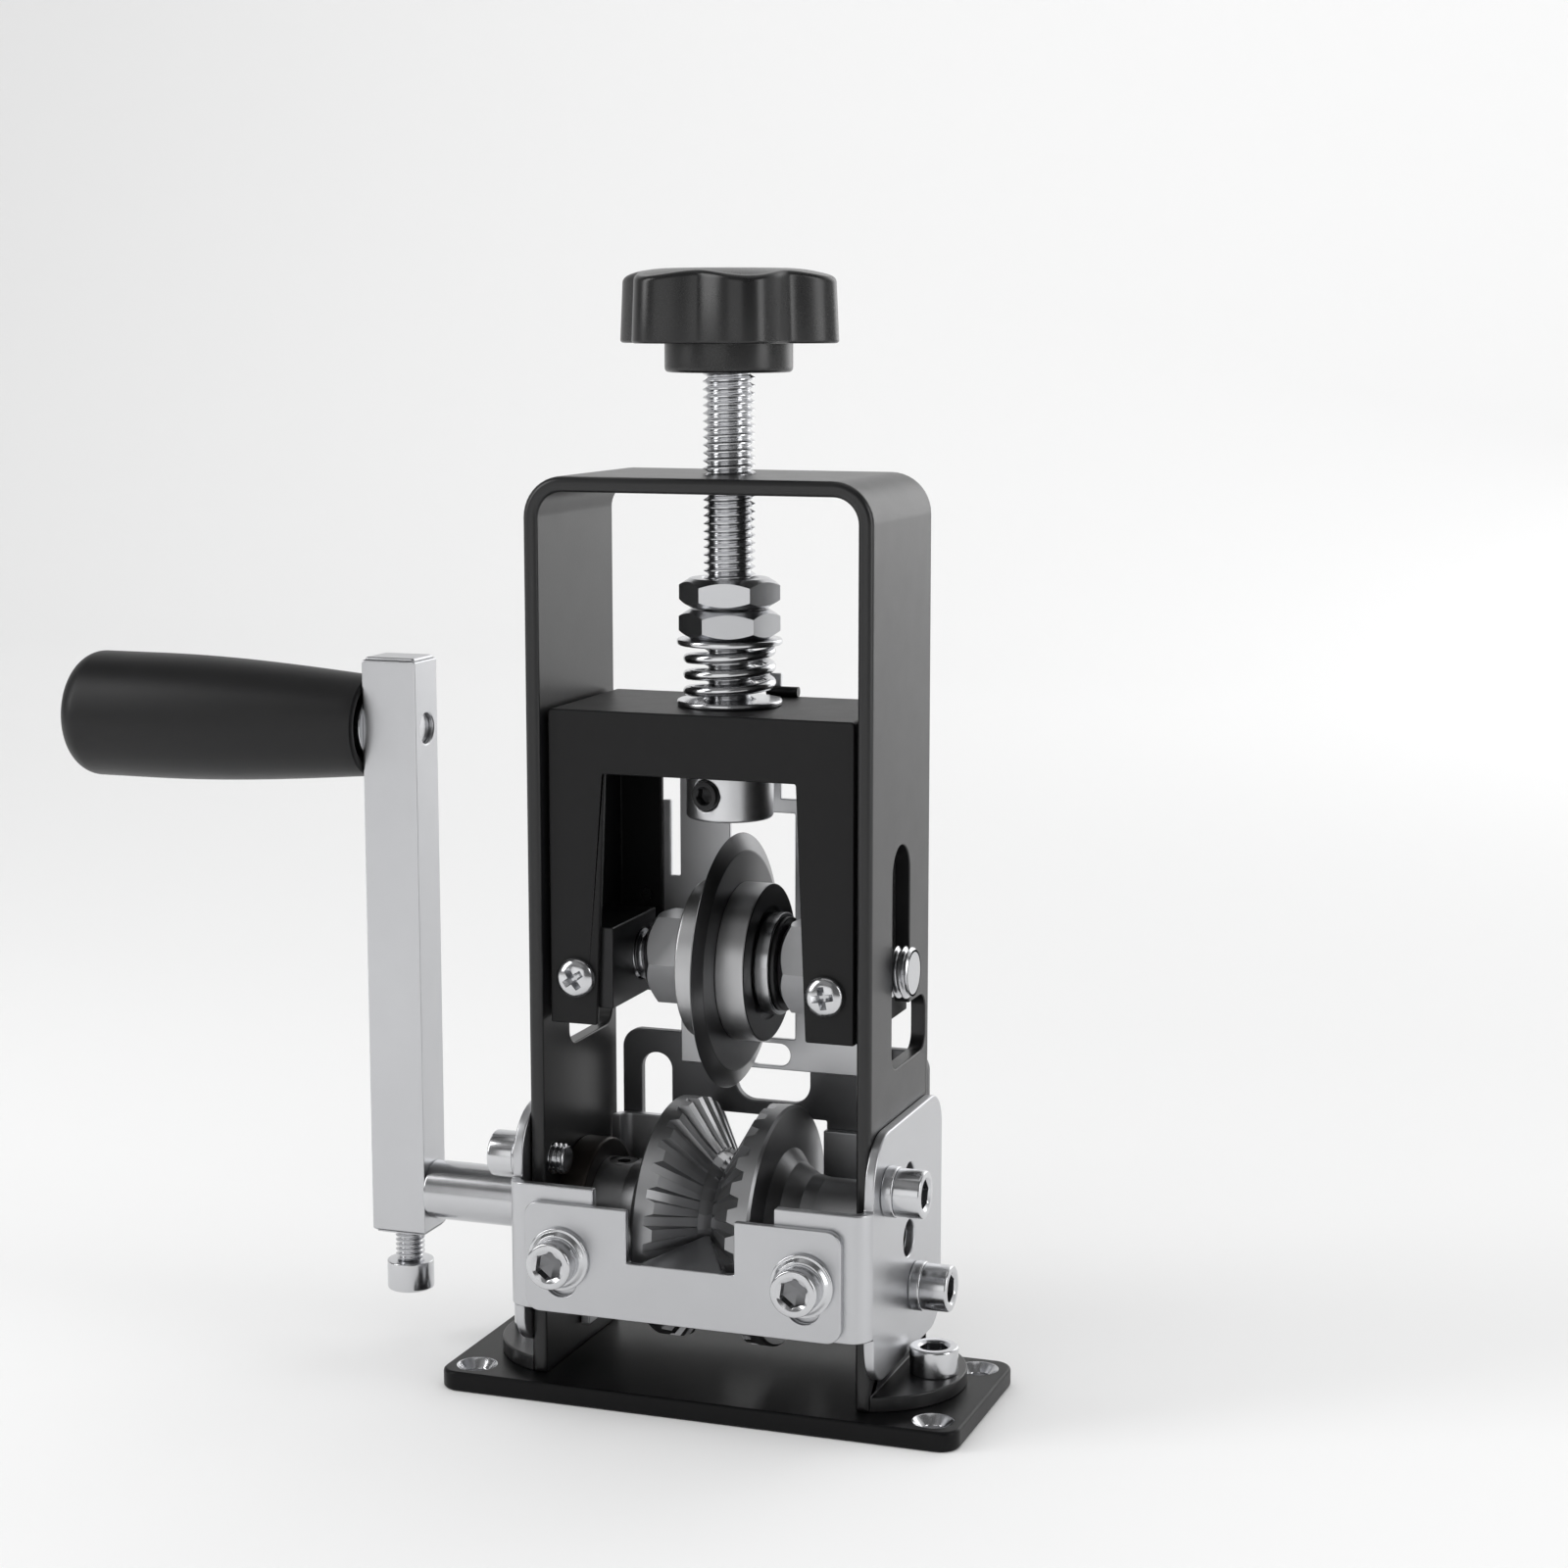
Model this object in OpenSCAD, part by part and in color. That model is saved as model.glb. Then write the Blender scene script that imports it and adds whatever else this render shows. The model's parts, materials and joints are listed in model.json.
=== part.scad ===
// Hand crank wire stripper on a small bench plate.
// X runs along the drive shaft, Y from front to back, Z up.
// The origin is the centre of the four bench holes, on the underside of the base plate.

/* [Base plate] */
// Distance from a foot's outer end to the nearest edge of the base plate
base_margin = 5.3; // [4.5:0.1:8]
// Depth of the base plate, front to back
base_d = 43; // [43:0.5:50]
// Thickness of the base plate
base_t = 4; // [3:0.5:6]
// Corner radius of the base plate
base_corner_r = 4; // [2:0.5:6]
// Distance from a bench hole to the nearest edges
bench_hole_inset = 6; // [5.5:0.5:7]
// Diameter of a bench hole
bench_hole_d = 4.5; // [4:0.1:5]
// Diameter of the countersink of a bench hole
bench_sink_d = 8; // [7:0.5:9]

/* [Main frame] */
// Outer width of the bent frame
frame_w = 70; // [68:0.5:72]
// Depth of the frame strip
frame_d = 38; // [37:0.5:39]
// Height of the frame above the base plate
frame_h = 177; // [177:1:185]
// Sheet thickness of the frame
frame_t = 3; // [2.5:0.25:3.5]
// Outer bend radius at the two top corners
frame_bend_r = 8; // [6:0.5:10]
// Distance from the front edge of the base plate to the front of the frame
frame_setback = 5; // [4:0.5:6]
// How far each foot reaches out beyond its leg
foot_reach = 13.2; // [12.5:0.1:14]
// Distance from a leg's outer face to its foot screw
foot_screw_out = 7.2; // [7.1:0.1:8]
// Width of the slots that guide the blade shaft
slot_w = 11; // [10.6:0.1:12]
// Height of the top of the slots above the base plate
slot_top = 107; // [106:0.5:109]

/* [Drive] */
// Height of the drive shaft above the base plate
drive_h = 29.5; // [29.5:0.25:30.5]
// Diameter of the drive shaft
shaft_d = 12; // [11:0.5:12.5]
// Diameter of the feed roller over its teeth
roller_d = 47.5; // [45:0.5:48]
// Width of the feed roller over both flanges
roller_w = 24; // [22:0.5:25]
// Width of the plain rim beside each ring of teeth
roller_rim_w = 4.5; // [3.5:0.5:5]
// Diameter at the waist of the feed roller's groove
roller_waist_d = 23; // [21:0.5:24]
// Number of teeth in each ring
tooth_count = 28; // [20:1:32]
// Depth of the teeth at the rim
tooth_h = 1.5; // [1.2:0.1:2]
// Diameter of the sleeves at both sides of the feed roller
sleeve_d = 20.5; // [18:0.5:21]
// Diameter of the two shaft bearings' collars
bearing_d = 28; // [26:0.5:29]
// Length of the left bearing's collar
bearing_collar_l = 5.5; // [5:0.25:6]
// Length of the right bearing's collar
bearing_short_l = 1.5; // [1:0.25:2]

/* [Crank] */
// Distance from the drive shaft's axis to the handle's axis
crank_r = 95.5; // [80:0.5:110]
// Width of the crank bar along the drive shaft
bar_w = 11.8; // [11.5:0.1:14]
// Depth of the crank bar
bar_d = 10; // [9.5:0.1:12]
// Length of the bar past the handle's axis
bar_top_over = 14.5; // [10:0.5:18]
// Length of the bar past the drive shaft's axis
bar_low_over = 9; // [8:0.5:12]
// Distance from the frame's outer face to the bar
bar_stand_off = 30; // [25:0.2:40]
// Length of the handle grip
grip_l = 67; // [50:1:90]
// Largest diameter of the grip
grip_d = 26; // [22:0.5:32]
// Diameter of the grip beside the bar
grip_neck_d = 20.4; // [19:0.2:22]

/* [Pressure screw] */
// Diameter of the pressure screw
screw_d = 10; // [9:0.5:10]
// Diameter of the star knob over its lobes
knob_d = 43; // [38:0.2:48]
// Height of the star knob's head
knob_h = 14; // [11:0.5:18]
// Diameter of the knob's hub
knob_hub_d = 24.5; // [20:0.5:27]
// Height of the knob's hub
knob_hub_h = 5.5; // [4:0.5:8]
// Distance from the frame's top to the underside of the knob's hub at rest
knob_clear = 19.3; // [18:0.1:24]
// Diameter of the pressure spring
spring_d = 18; // [16.5:0.5:19]
// Diameter of the spring's wire
spring_wire_d = 2; // [1.8:0.1:2.1]
// Height of the spring between its washers
spring_h = 10.6; // [10:0.1:11]
// Number of curls in the spring
spring_turns = 3; // [2.5:0.25:3]
// Diameter of the collar on the screw's lower end
collar_d = 17; // [16:0.5:18]

/* [Blade carriage] */
// Distance from the carriage's sides to the frame's walls
carriage_gap = 1; // [0.5:0.1:1.5]
// Depth of the carriage
carriage_d = 34; // [33:0.5:35]
// Height of the carriage's sheet from the foot of its legs to its top
carriage_h = 61.5; // [61:0.25:62]
// Height of the carriage's top above the base plate at rest
carriage_top = 132.5; // [132:0.1:133]
// Sheet thickness of the carriage
carriage_t = 1.5; // [1.2:0.1:1.6]
// Height of the bar across the carriage's front
cross_h = 12.2; // [10:0.2:13]
// Width of a front leg at its top
leg_top_w = 11.6; // [10:0.2:12]
// Width of a front leg at its foot
leg_low_w = 9.6; // [8.5:0.2:10]
// Height of the blade shaft's axis above the foot of the carriage's legs
blade_up = 11.2; // [10.9:0.1:11.5]
// Distance of the blade to the right of the frame's middle
blade_x = 1.2; // [0:0.1:1.4]
// Diameter of the round cutting blade
blade_d = 50; // [44:0.5:50.5]
// Thickness of the cutting blade
blade_t = 2.6; // [1.6:0.1:2.8]
// Diameter of the blade's clamping flanges
flange_d = 31; // [28:0.5:32]
// Diameter of the blade shaft
blade_shaft_d = 10; // [9:0.5:10]

/* [Wire guides] */
// Sheet thickness of the silver guide bracket
bracket_t = 2; // [1.5:0.25:2.5]
// Distance from the frame's front to the bracket's front face
bracket_reach = 7.5; // [7.5:0.25:9]
// Height of the bracket's front face above the base plate at its foot
bracket_low = 16; // [15:0.5:17]
// Height of the bracket's front face
bracket_face_h = 25; // [24:0.5:26]
// Thickness of the front guide plate
guide_t = 1.5; // [1.2:0.1:2]
// Distance from the front guide plate's ends to the bracket's outer faces
guide_side_in = 4.7; // [4:0.1:7]
// Height of the front guide plate
guide_h = 21.8; // [20:0.2:23]
// Width of the mouth in the front guide plate
mouth_w = 22; // [20:0.5:23]
// Thickness of the rear guide plate
rear_t = 2; // [1.5:0.25:2.5]
// Width of the wire notch in the rear guide plate
notch_w = 16; // [12:0.5:18]

/* [Hidden] */

// Smoothness of the curves, the same for every piece
$fn = 64;
// Sides of a hexagon
hex = 6;
// Extra length of every cut past the face it goes through
over = 1;
// Radial gap of a running fit
run_gap = 0.05;
// Radial gap round a screw in its thread
thread_gap = 0.05;
// Gap between a coiled wire and the faces it rests on
seat_gap = 0.1;
// Gap between plates that slide on each other
slide_gap = 0.05;

// Named values of the base plate and the frame
base_w = frame_w + 2 * (foot_reach + base_margin);
frame_front = frame_setback - base_d / 2;
axis_y = frame_front + frame_d / 2;
frame_back = frame_front + frame_d;
frame_in = frame_w / 2 - frame_t;
frame_top = base_t + frame_h;
bench_x = base_w / 2 - bench_hole_inset;
bench_y = base_d / 2 - bench_hole_inset;
foot_screw_x = frame_w / 2 + foot_screw_out;
foot_centre_x = frame_w / 2 + foot_reach - frame_d / 2;
window_up = 63.7;
window_low = base_t + window_up;
window_h = 11.3;
window_reach = 16.2;
window_r = 3.2;

// M6 socket head cap screws
m6_r = 3;
m6_clear_r = 3.3;
m6_head_r = 4.8;
m6_head_h = 6;
m6_key = 5;
m6_key_depth = 3;
m6_edge = 0.5;
m6_nut_af = 10;
m6_nut_h = 5;
m6_nut_edge = 0.9;
side_head_r = 4.6;
side_head_h = 5.4;
guide_head_h = 4;
rivet_r = 1.2;
rivet_head_r = 2.2;
rivet_head_h = 0.7;

// Drive line
drive_z = base_t + drive_h;
shaft_r = shaft_d / 2;
spigot_t = 2;
spigot_r = shaft_r + spigot_t;
bearing_l = frame_t + bearing_collar_l;
sleeve_left = frame_in - bearing_collar_l - run_gap;
thrust_t = 1;
sleeve_right = frame_in - bearing_short_l - thrust_t - 2 * run_gap;
roller_r = roller_d / 2;
waist_r = roller_waist_d / 2;
groove_x = roller_w / 2 - roller_rim_w;
tooth_step = 360 / tooth_count;
tooth_foot_share = 0.65;
tooth_open_share = 1.7;
flare_l = 8;
flare_r = 15.3;
set_screw_in = 3.6;
shaft_end_in = 1.8;
shaft_right = frame_w / 2 - shaft_end_in;
shaft_neck_r = 3.5;

// Crank
bar_right = -frame_w / 2 - bar_stand_off;
bar_left = bar_right - bar_w;
grip_z = drive_z + crank_r;
bar_low = drive_z - bar_low_over;
bar_top = grip_z + bar_top_over;
bar_edge = 0.6;
clamp_gap = 6.5;
clamp_clear = 0.3;
axle_r = 4;
axle_pin_r = 3;
axle_pin_in = 1;
axle_neck_r = 6.5;
axle_neck_l = 3.2;
grip_gap = 0.3;
grip_recess_l = 4;
grip_recess_r = 8;
grip_end_r = 5;
axle_end_r = 6;
axle_end_h = 2.5;
grip_steps = 18;

// Pressure screw
screw_r = screw_d / 2;
carriage_z = base_t + carriage_top;
washer_t = 1.2;
washer_r = 10.2;
spring_low = carriage_z + washer_t;
spring_high = spring_low + spring_h;
nut_af = 17;
nut_h = 5.7;
nut_edge = 1.5;
nut_face_share = 0.9;
nut_gap = 0.3;
upper_nut_turn = 13.7;
lower_nut_turn = 18.1;
lower_nut_z = spring_high + washer_t;
upper_nut_z = lower_nut_z + nut_h + nut_gap;
knob_z = frame_top + knob_clear;
knob_lobes = 6;
knob_turn = -1.4;
knob_core_share = 0.86;
lobe_r_share = 0.435;
knob_edge_r = 2;
knob_crown = 1.5;
collar_gap = 0.05;
collar_over_blade = 3.35;
collar_top = carriage_z - carriage_t - collar_gap;
collar_low = carriage_z - carriage_h + blade_up + blade_d / 2 + collar_over_blade;
collar_h = collar_top - collar_low;
grub_r = 3;
grub_up = 5.2;
grub_angle = -104;
coil_turn = -50;
collar_floor = 2;
knob_socket = 8;
screw_low = collar_low + collar_floor;
screw_high = knob_z + knob_hub_h + knob_socket;

// Carriage
carriage_front = axis_y - carriage_d / 2;
carriage_back = axis_y + carriage_d / 2;
carriage_low = carriage_z - carriage_h;
carriage_w = 2 * (frame_in - carriage_gap);
blade_z = carriage_low + blade_up;
carriage_in = carriage_w / 2 - carriage_t;
rear_leg_w = 10.4;
bend_r = 2;
carriage_corner_r = 0.8;
m4_r = 2;
m4_head_r = 4;
m4_head_h = 2.4;
m4_side_in = 5.6;
m4_up = 9.3;
m4_l = 9;
m4_x = carriage_w / 2 - m4_side_in;
m4_z = carriage_low + m4_up;
block_w = 14;
block_h = 16;
block_gap = 0.1;
shaft_end_over = 2.6;
left_nut_h = 9.4;
right_nut_h = 8;
blade_flange_t = 5.8;
bush_r = 7;
bush_rim_r = 10;
bush_rim_t = 3;
ring_t = 1;
ring_r = 9.2;
blade_edge = 3.6;
blade_tip_t = 0.2;
blade_left = blade_x - blade_t / 2;
blade_right = blade_x + blade_t / 2;
left_nut_x = blade_left - blade_flange_t - run_gap - left_nut_h;
right_nut_x = blade_right + blade_flange_t + bush_rim_t + ring_t + run_gap;
left_nut_room = 3.1;
right_nut_room = 2.1;
left_block_t = carriage_in + left_nut_x - left_nut_room;
right_block_t = carriage_in - right_nut_x - right_nut_h - right_nut_room;

// Rear plate of the carriage, with the wire's way out
tail_t = 1.2;
tail_low = 60.3;
tail_bar_top = 66.8;
tail_window_top = 112.9;
tail_rail_top = 115.8;
wing_side_in = 4;
wing_up = 2;
wing_h = 21.9;
wing_low = carriage_low + wing_up;
wing_top = wing_low + wing_h;
wing_half = carriage_w / 2 - wing_side_in;
finger_left = -20.9;
finger_right = -19.2;
finger_top = 114.3;
tail_bar_left = -17.2;
tail_bar_right = -6.4;
tail_window_right = 7.4;
tail_rivet_in = 7;
tail_rivet_x = carriage_w / 2 - tail_rivet_in;
tail_rivet_up = [6, 20];
wire_x = 1.9;
wire_hole_w = 9;
wire_hole_h = 4.6;
wire_hole_z = 63.4;
tab_x = 3.2;
tab_w = 2.4;
tab_up = 4.4;
tail_pin_r = 1;
tail_pin_l = 6.5;

// Bracket and guides
bracket_front = frame_front - bracket_reach;
bracket_bend_r = 4;
bracket_half = frame_w / 2 + bracket_t;
bracket_z = base_t + bracket_low;
bracket_top = bracket_z + bracket_face_h;
ear_over = 3;
ear_up = 6.2;
ear_h = 48;
ear_back = frame_back + ear_over;
ear_front = bracket_front + bracket_bend_r;
ear_low = base_t + ear_up;
ear_top = ear_low + ear_h;
ear_r = 7;
ear_front_r = 10;
ear_hole_r = 3.6;
ear_hole_up = 11.5;
bracket_cut_z = 26.5;
upper_screw_out = 14;
upper_screw_up = 42.8;
lower_screw_back = 4;
lower_screw_up = 18.8;
upper_screw_y = axis_y - upper_screw_out;
upper_screw_z = base_t + upper_screw_up;
lower_screw_y = axis_y + lower_screw_back;
lower_screw_z = base_t + lower_screw_up;
spacer_t = 2.2;
spacer_r = 4.9;
stud_out = 3;
guide_low = 20.2;
guide_corner_r = 3;
mouth_z = 31.6;
guide_w = 2 * (bracket_half - guide_side_in);
guide_screw_in = 7.5;
guide_screw_x = guide_w / 2 - guide_screw_in;
bracket_cut_in = 6.3;
bracket_cut_w = 2 * (guide_screw_x - bracket_cut_in);
guide_screw_z = 31.2;
guide_slot_z = 30.05;
guide_slot_l = 13.1;
tongue_half = 8;
tongue_tip_half = 0.5;
tongue_tip_gap = 1.6;
tongue_up = 2.4;
stepped_t = 1;
stepped_r = 6.2;
stepped_up = 0.9;
stepped_top_r = 5;

// Rear plates on the frame
cross_t = 2;
cross_up = 5;
cross_sheet_h = 39.5;
cross_low = base_t + cross_up;
cross_top = cross_low + cross_sheet_h;
cross_half = frame_in - seat_gap;
cross_flange_d = 21;
cross_flange_top = 18.5;
cross_rivet_y = [5, 15];
cross_rivet_z = 13.5;
roller_window_half = 13.5;
cross_window_low = 15.5;
rear_low = 27;
rear_top = 66;
rear_corner_r = 4;
notch_low = 53;
notch_r = 4;
rear_window_top = 50;
rear_slot_in = 6.7;
rear_slot_edge = 7.5;
rear_slot_x = frame_in - rear_slot_in;
rear_half = rear_slot_x + rear_slot_edge;
rear_slot_low = 29.5;
rear_slot_top = 61.2;
rear_screw_z = 36;
rear_washer_t = 1.5;
rear_washer_r = 6.5;
rear_front = frame_back + slide_gap;

// A cylinder along X, from x0 to x1
module x_rod(x0, x1, r) {
    translate([x0, 0, 0]) rotate([0, 90, 0]) cylinder(h = x1 - x0, r = r);
}

// A cylinder along Y, from y0 to y1
module y_rod(y0, y1, r) {
    translate([0, y0, 0]) rotate([-90, 0, 0]) cylinder(h = y1 - y0, r = r);
}

// A flat outline in Y and Z, pushed along X from x0 to x1
module side_plate(x0, x1) {
    translate([x0, 0, 0]) rotate([90, 0, 90]) linear_extrude(x1 - x0) children();
}

// A flat outline in X and Z, pushed along Y from y0 to y1
module front_plate(y0, y1) {
    translate([0, y1, 0]) rotate([90, 0, 0]) linear_extrude(y1 - y0) children();
}

// A rectangle from one corner to the other, with rounded corners
module soft_box(x0, y0, x1, y1, r) {
    translate([x0 + r, y0]) square([x1 - x0 - 2 * r, y1 - y0]);
    translate([x0, y0 + r]) square([x1 - x0, y1 - y0 - 2 * r]);
    for (x = [x0 + r, x1 - r]) for (y = [y0 + r, y1 - r]) translate([x, y]) circle(r = r);
}

// A rectangle from one corner to the other
module flat_box(x0, y0, x1, y1) {
    translate([x0, y0]) square([x1 - x0, y1 - y0]);
}

// A strip bent into an upright U that opens towards -Y of the drawing
module bent_strip(w, h, t, r) {
    difference() {
        union() {
            flat_box(-w / 2, 0, w / 2, h - r);
            soft_box(-w / 2, h - 3 * r, w / 2, h, r);
        }
        flat_box(-w / 2 + t, -over, w / 2 - t, h - r);
        soft_box(-w / 2 + t, h - 3 * r, w / 2 - t, h - t, r - t);
    }
}

// A socket head cap screw with its head above z = 0 and its shank below
module cap_screw(l, head_r = m6_head_r, head_h = m6_head_h, key_depth = m6_key_depth) {
    difference() {
        rotate_extrude() polygon([
            [0, -l], [m6_r - m6_edge, -l], [m6_r, m6_edge - l], [m6_r, 0], [head_r, 0],
            [head_r, head_h - m6_edge], [head_r - m6_edge, head_h], [0, head_h]
        ]);
        translate([0, 0, head_h - key_depth])
            cylinder(h = key_depth + over, d = m6_key / cos(180 / hex), $fn = hex);
    }
}

// A hexagon nut on z = 0, with its corners turned off at both faces
module hex_nut(af, h, bore_r, edge = nut_edge) {
    corner_r = af / 2 / cos(180 / hex);
    face_r = af / 2 * nut_face_share;
    difference() {
        intersection() {
            cylinder(h = h, r = corner_r, $fn = hex);
            rotate_extrude() polygon([
                [0, 0], [face_r, 0], [corner_r, edge], [corner_r, h - edge], [face_r, h], [0, h]
            ]);
        }
        translate([0, 0, -over]) cylinder(h = h + 2 * over, r = bore_r);
    }
}

// A flat ring on z = 0
module flat_ring(t, r, bore_r) {
    difference() {
        cylinder(h = t, r = r);
        translate([0, 0, -over]) cylinder(h = t + 2 * over, r = bore_r);
    }
}

// Bench plate with four countersunk holes and two threaded holes for the frame's feet
module base_plate() {
    color("#1b1b1d") difference() {
        linear_extrude(base_t)
            soft_box(-base_w / 2, -base_d / 2, base_w / 2, base_d / 2, base_corner_r);
        for (x = [-bench_x, bench_x]) for (y = [-bench_y, bench_y]) translate([x, y, 0]) {
            translate([0, 0, -over]) cylinder(h = base_t + 2 * over, d = bench_hole_d);
            translate([0, 0, base_t - (bench_sink_d - bench_hole_d) / 2])
                cylinder(h = (bench_sink_d - bench_hole_d) / 2 + over,
                    d1 = bench_hole_d, d2 = bench_sink_d + 2 * over);
        }
        for (x = [-foot_screw_x, foot_screw_x]) translate([x, axis_y, -over])
            cylinder(h = base_t + 2 * over, r = m6_r + thread_gap);
    }
}

// Outline of the slot for the blade shaft and the window below it
module slot_outline() {
    flat_box(axis_y - slot_w / 2, window_low + window_r, axis_y + slot_w / 2,
        base_t + slot_top - slot_w / 2);
    translate([axis_y, base_t + slot_top - slot_w / 2]) circle(d = slot_w);
    soft_box(axis_y - slot_w / 2, window_low, axis_y + window_reach, window_low + window_h,
        window_r);
}

// Bent frame with its two half-round feet
module main_frame() {
    color("#202022") difference() {
        union() {
            translate([0, 0, base_t]) front_plate(frame_front, frame_back)
                bent_strip(frame_w, frame_h, frame_t, frame_bend_r);
            for (side = [-1, 1]) translate([0, 0, base_t]) linear_extrude(frame_t) intersection() {
                translate([side * foot_centre_x, axis_y]) circle(d = frame_d);
                flat_box(min(side * frame_in, side * base_w / 2), frame_front,
                    max(side * frame_in, side * base_w / 2), frame_back);
            }
        }
        translate([0, axis_y, frame_top - frame_t - over])
            cylinder(h = frame_t + 2 * over, r = screw_r + run_gap);
        side_plate(-frame_w / 2 - over, frame_w / 2 + over) slot_outline();
        translate([0, axis_y, drive_z])
            x_rod(-frame_w / 2 - over, frame_w / 2 + over, spigot_r);
        for (p = [[upper_screw_y, upper_screw_z], [lower_screw_y, lower_screw_z]])
            translate([0, p[0], p[1]])
                x_rod(-frame_w / 2 - over, frame_w / 2 + over, m6_r + thread_gap);
        for (x = [-foot_screw_x, foot_screw_x]) translate([x, axis_y, 0])
            cylinder(h = base_t + frame_t + over, r = m6_clear_r);
        cross_rivet_holes(frame_w / 2);
    }
}

// Holes of the flush rivets in both walls and in the rear cross plate, out to a given face
module cross_rivet_holes(out) {
    for (side = [-1, 1]) for (y = cross_rivet_y) translate([0, y, cross_rivet_z])
        rotate([0, side * 90, 0]) {
            cylinder(h = out + over, r = rivet_r);
            translate([0, 0, frame_w / 2 - rivet_head_h])
                cylinder(h = rivet_head_h + over, r = rivet_head_r);
        }
}

// Cap screws that hold the feet to the base plate
module foot_screws() {
    color("silver") for (x = [-foot_screw_x, foot_screw_x])
        translate([x, axis_y, base_t + frame_t])
            cap_screw(base_t + frame_t, head_h = side_head_h);
}

// Outline of the bracket's ears, seen from the side
module ear_outline() {
    translate([ear_front + ear_front_r, ear_top - ear_front_r]) circle(r = ear_front_r);
    translate([ear_back - ear_r, ear_top - ear_r]) circle(r = ear_r);
    translate([ear_front + ear_r, ear_low + ear_r]) circle(r = ear_r);
    translate([ear_back - ear_r, ear_low + ear_r]) circle(r = ear_r);
    flat_box(ear_front, ear_low + ear_r, ear_back, ear_top - ear_front_r);
    flat_box(ear_front + ear_r, ear_low, ear_back - ear_r, ear_top - ear_front_r);
    flat_box(ear_front + ear_front_r, ear_low + ear_r, ear_back - ear_r, ear_top);
    flat_box(ear_front + ear_front_r, ear_low + ear_r, ear_back, ear_top - ear_r);
}

// Silver sheet bent round the front of the frame, with an ear on each side
module guide_bracket() {
    color("silver") difference() {
        intersection() {
            translate([0, 0, ear_low - over]) linear_extrude(ear_top - ear_low + 2 * over)
                translate([0, ear_back]) mirror([0, 1])
                    bent_strip(2 * bracket_half, ear_back - bracket_front, bracket_t,
                        bracket_bend_r);
            side_plate(-bracket_half, bracket_half) {
                flat_box(bracket_front, bracket_z, frame_front, bracket_top);
                ear_outline();
            }
        }
        front_plate(bracket_front - over, bracket_front + bracket_bend_r)
            flat_box(-bracket_cut_w / 2, bracket_cut_z, bracket_cut_w / 2, bracket_top + over);
        for (x = [-guide_screw_x, guide_screw_x]) translate([x, 0, guide_screw_z])
            y_rod(bracket_front - over, bracket_front + bracket_t + over, m6_r + thread_gap);
        for (p = [[upper_screw_y, upper_screw_z], [lower_screw_y, lower_screw_z]])
            translate([0, p[0], p[1]])
                x_rod(-bracket_half - over, bracket_half + over, m6_clear_r);
        translate([0, axis_y, drive_z]) x_rod(0, bracket_half + over, ear_hole_r);
        translate([0, axis_y, drive_z]) x_rod(-bracket_half - over, 0, shaft_r + m6_edge);
        translate([0, axis_y, drive_z + ear_hole_up])
            x_rod(-bracket_half - over, bracket_half + over, ear_hole_r);
    }
}

// Screws through both ears into the frame's walls, two on each side
module bracket_screws() {
    color("silver") for (side = [-1, 1]) {
        translate([side * (bracket_half + spacer_t), upper_screw_y, upper_screw_z])
            rotate([0, side * 90, 0])
                cap_screw(spacer_t + bracket_t + frame_t + (side < 0 ? stud_out : -m6_edge),
                    head_r = side_head_r, head_h = side_head_h);
        translate([side * (bracket_half + spacer_t), lower_screw_y, lower_screw_z])
            rotate([0, side * 90, 0]) cap_screw(spacer_t + bracket_t + frame_t - m6_edge,
                head_r = side_head_r, head_h = side_head_h);
    }
}

// Turned spacers under the heads of the bracket screws
module bracket_spacers() {
    color("gainsboro") for (side = [0, 1]) mirror([side, 0, 0])
        for (p = [[upper_screw_y, upper_screw_z], [lower_screw_y, lower_screw_z]])
            translate([bracket_half, p[0], p[1]]) rotate([0, 90, 0])
                flat_ring(spacer_t, spacer_r, m6_r + thread_gap);
}

// Flanged bearing in the left wall, with its thick collar inside
module left_bearing() {
    color("#26221f") translate([-frame_w / 2, axis_y, drive_z]) difference() {
        union() {
            x_rod(0, frame_t, spigot_r - thread_gap);
            x_rod(frame_t, bearing_l, bearing_d / 2);
        }
        x_rod(-over, bearing_l + over, shaft_r + run_gap);
    }
}

// Flanged bearing in the right wall, with a thin collar inside
module right_bearing() {
    color("#26221f") translate([frame_w / 2, axis_y, drive_z]) difference() {
        union() {
            x_rod(-frame_t, 0, spigot_r - thread_gap);
            x_rod(-frame_t - bearing_short_l, -frame_t, bearing_d / 2);
        }
        x_rod(-frame_t - bearing_short_l - over, over, shaft_r + run_gap);
    }
}

// Sheet across the back of the frame, with a low flange bent forwards along each wall
module rear_cross_plate() {
    color("#333436") difference() {
        intersection() {
            translate([0, 0, cross_low]) linear_extrude(cross_top - cross_low)
                translate([0, frame_back - cross_flange_d])
                    bent_strip(2 * cross_half, cross_flange_d, cross_t, cross_t + bend_r);
            side_plate(-cross_half, cross_half) {
                flat_box(frame_back - cross_t - bend_r, cross_low, frame_back, cross_top);
                flat_box(frame_back - cross_flange_d, cross_low, frame_back, cross_flange_top);
            }
        }
        front_plate(frame_back - cross_t - over, frame_back + over)
            flat_box(-roller_window_half, cross_window_low, roller_window_half, cross_top + over);
        cross_rivet_holes(frame_in);
        for (side = [-1, 1]) translate([wire_x + side * rear_slot_x, 0, rear_screw_z])
            y_rod(frame_back - cross_t - over, frame_back + over, m6_r + thread_gap);
    }
}

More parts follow.
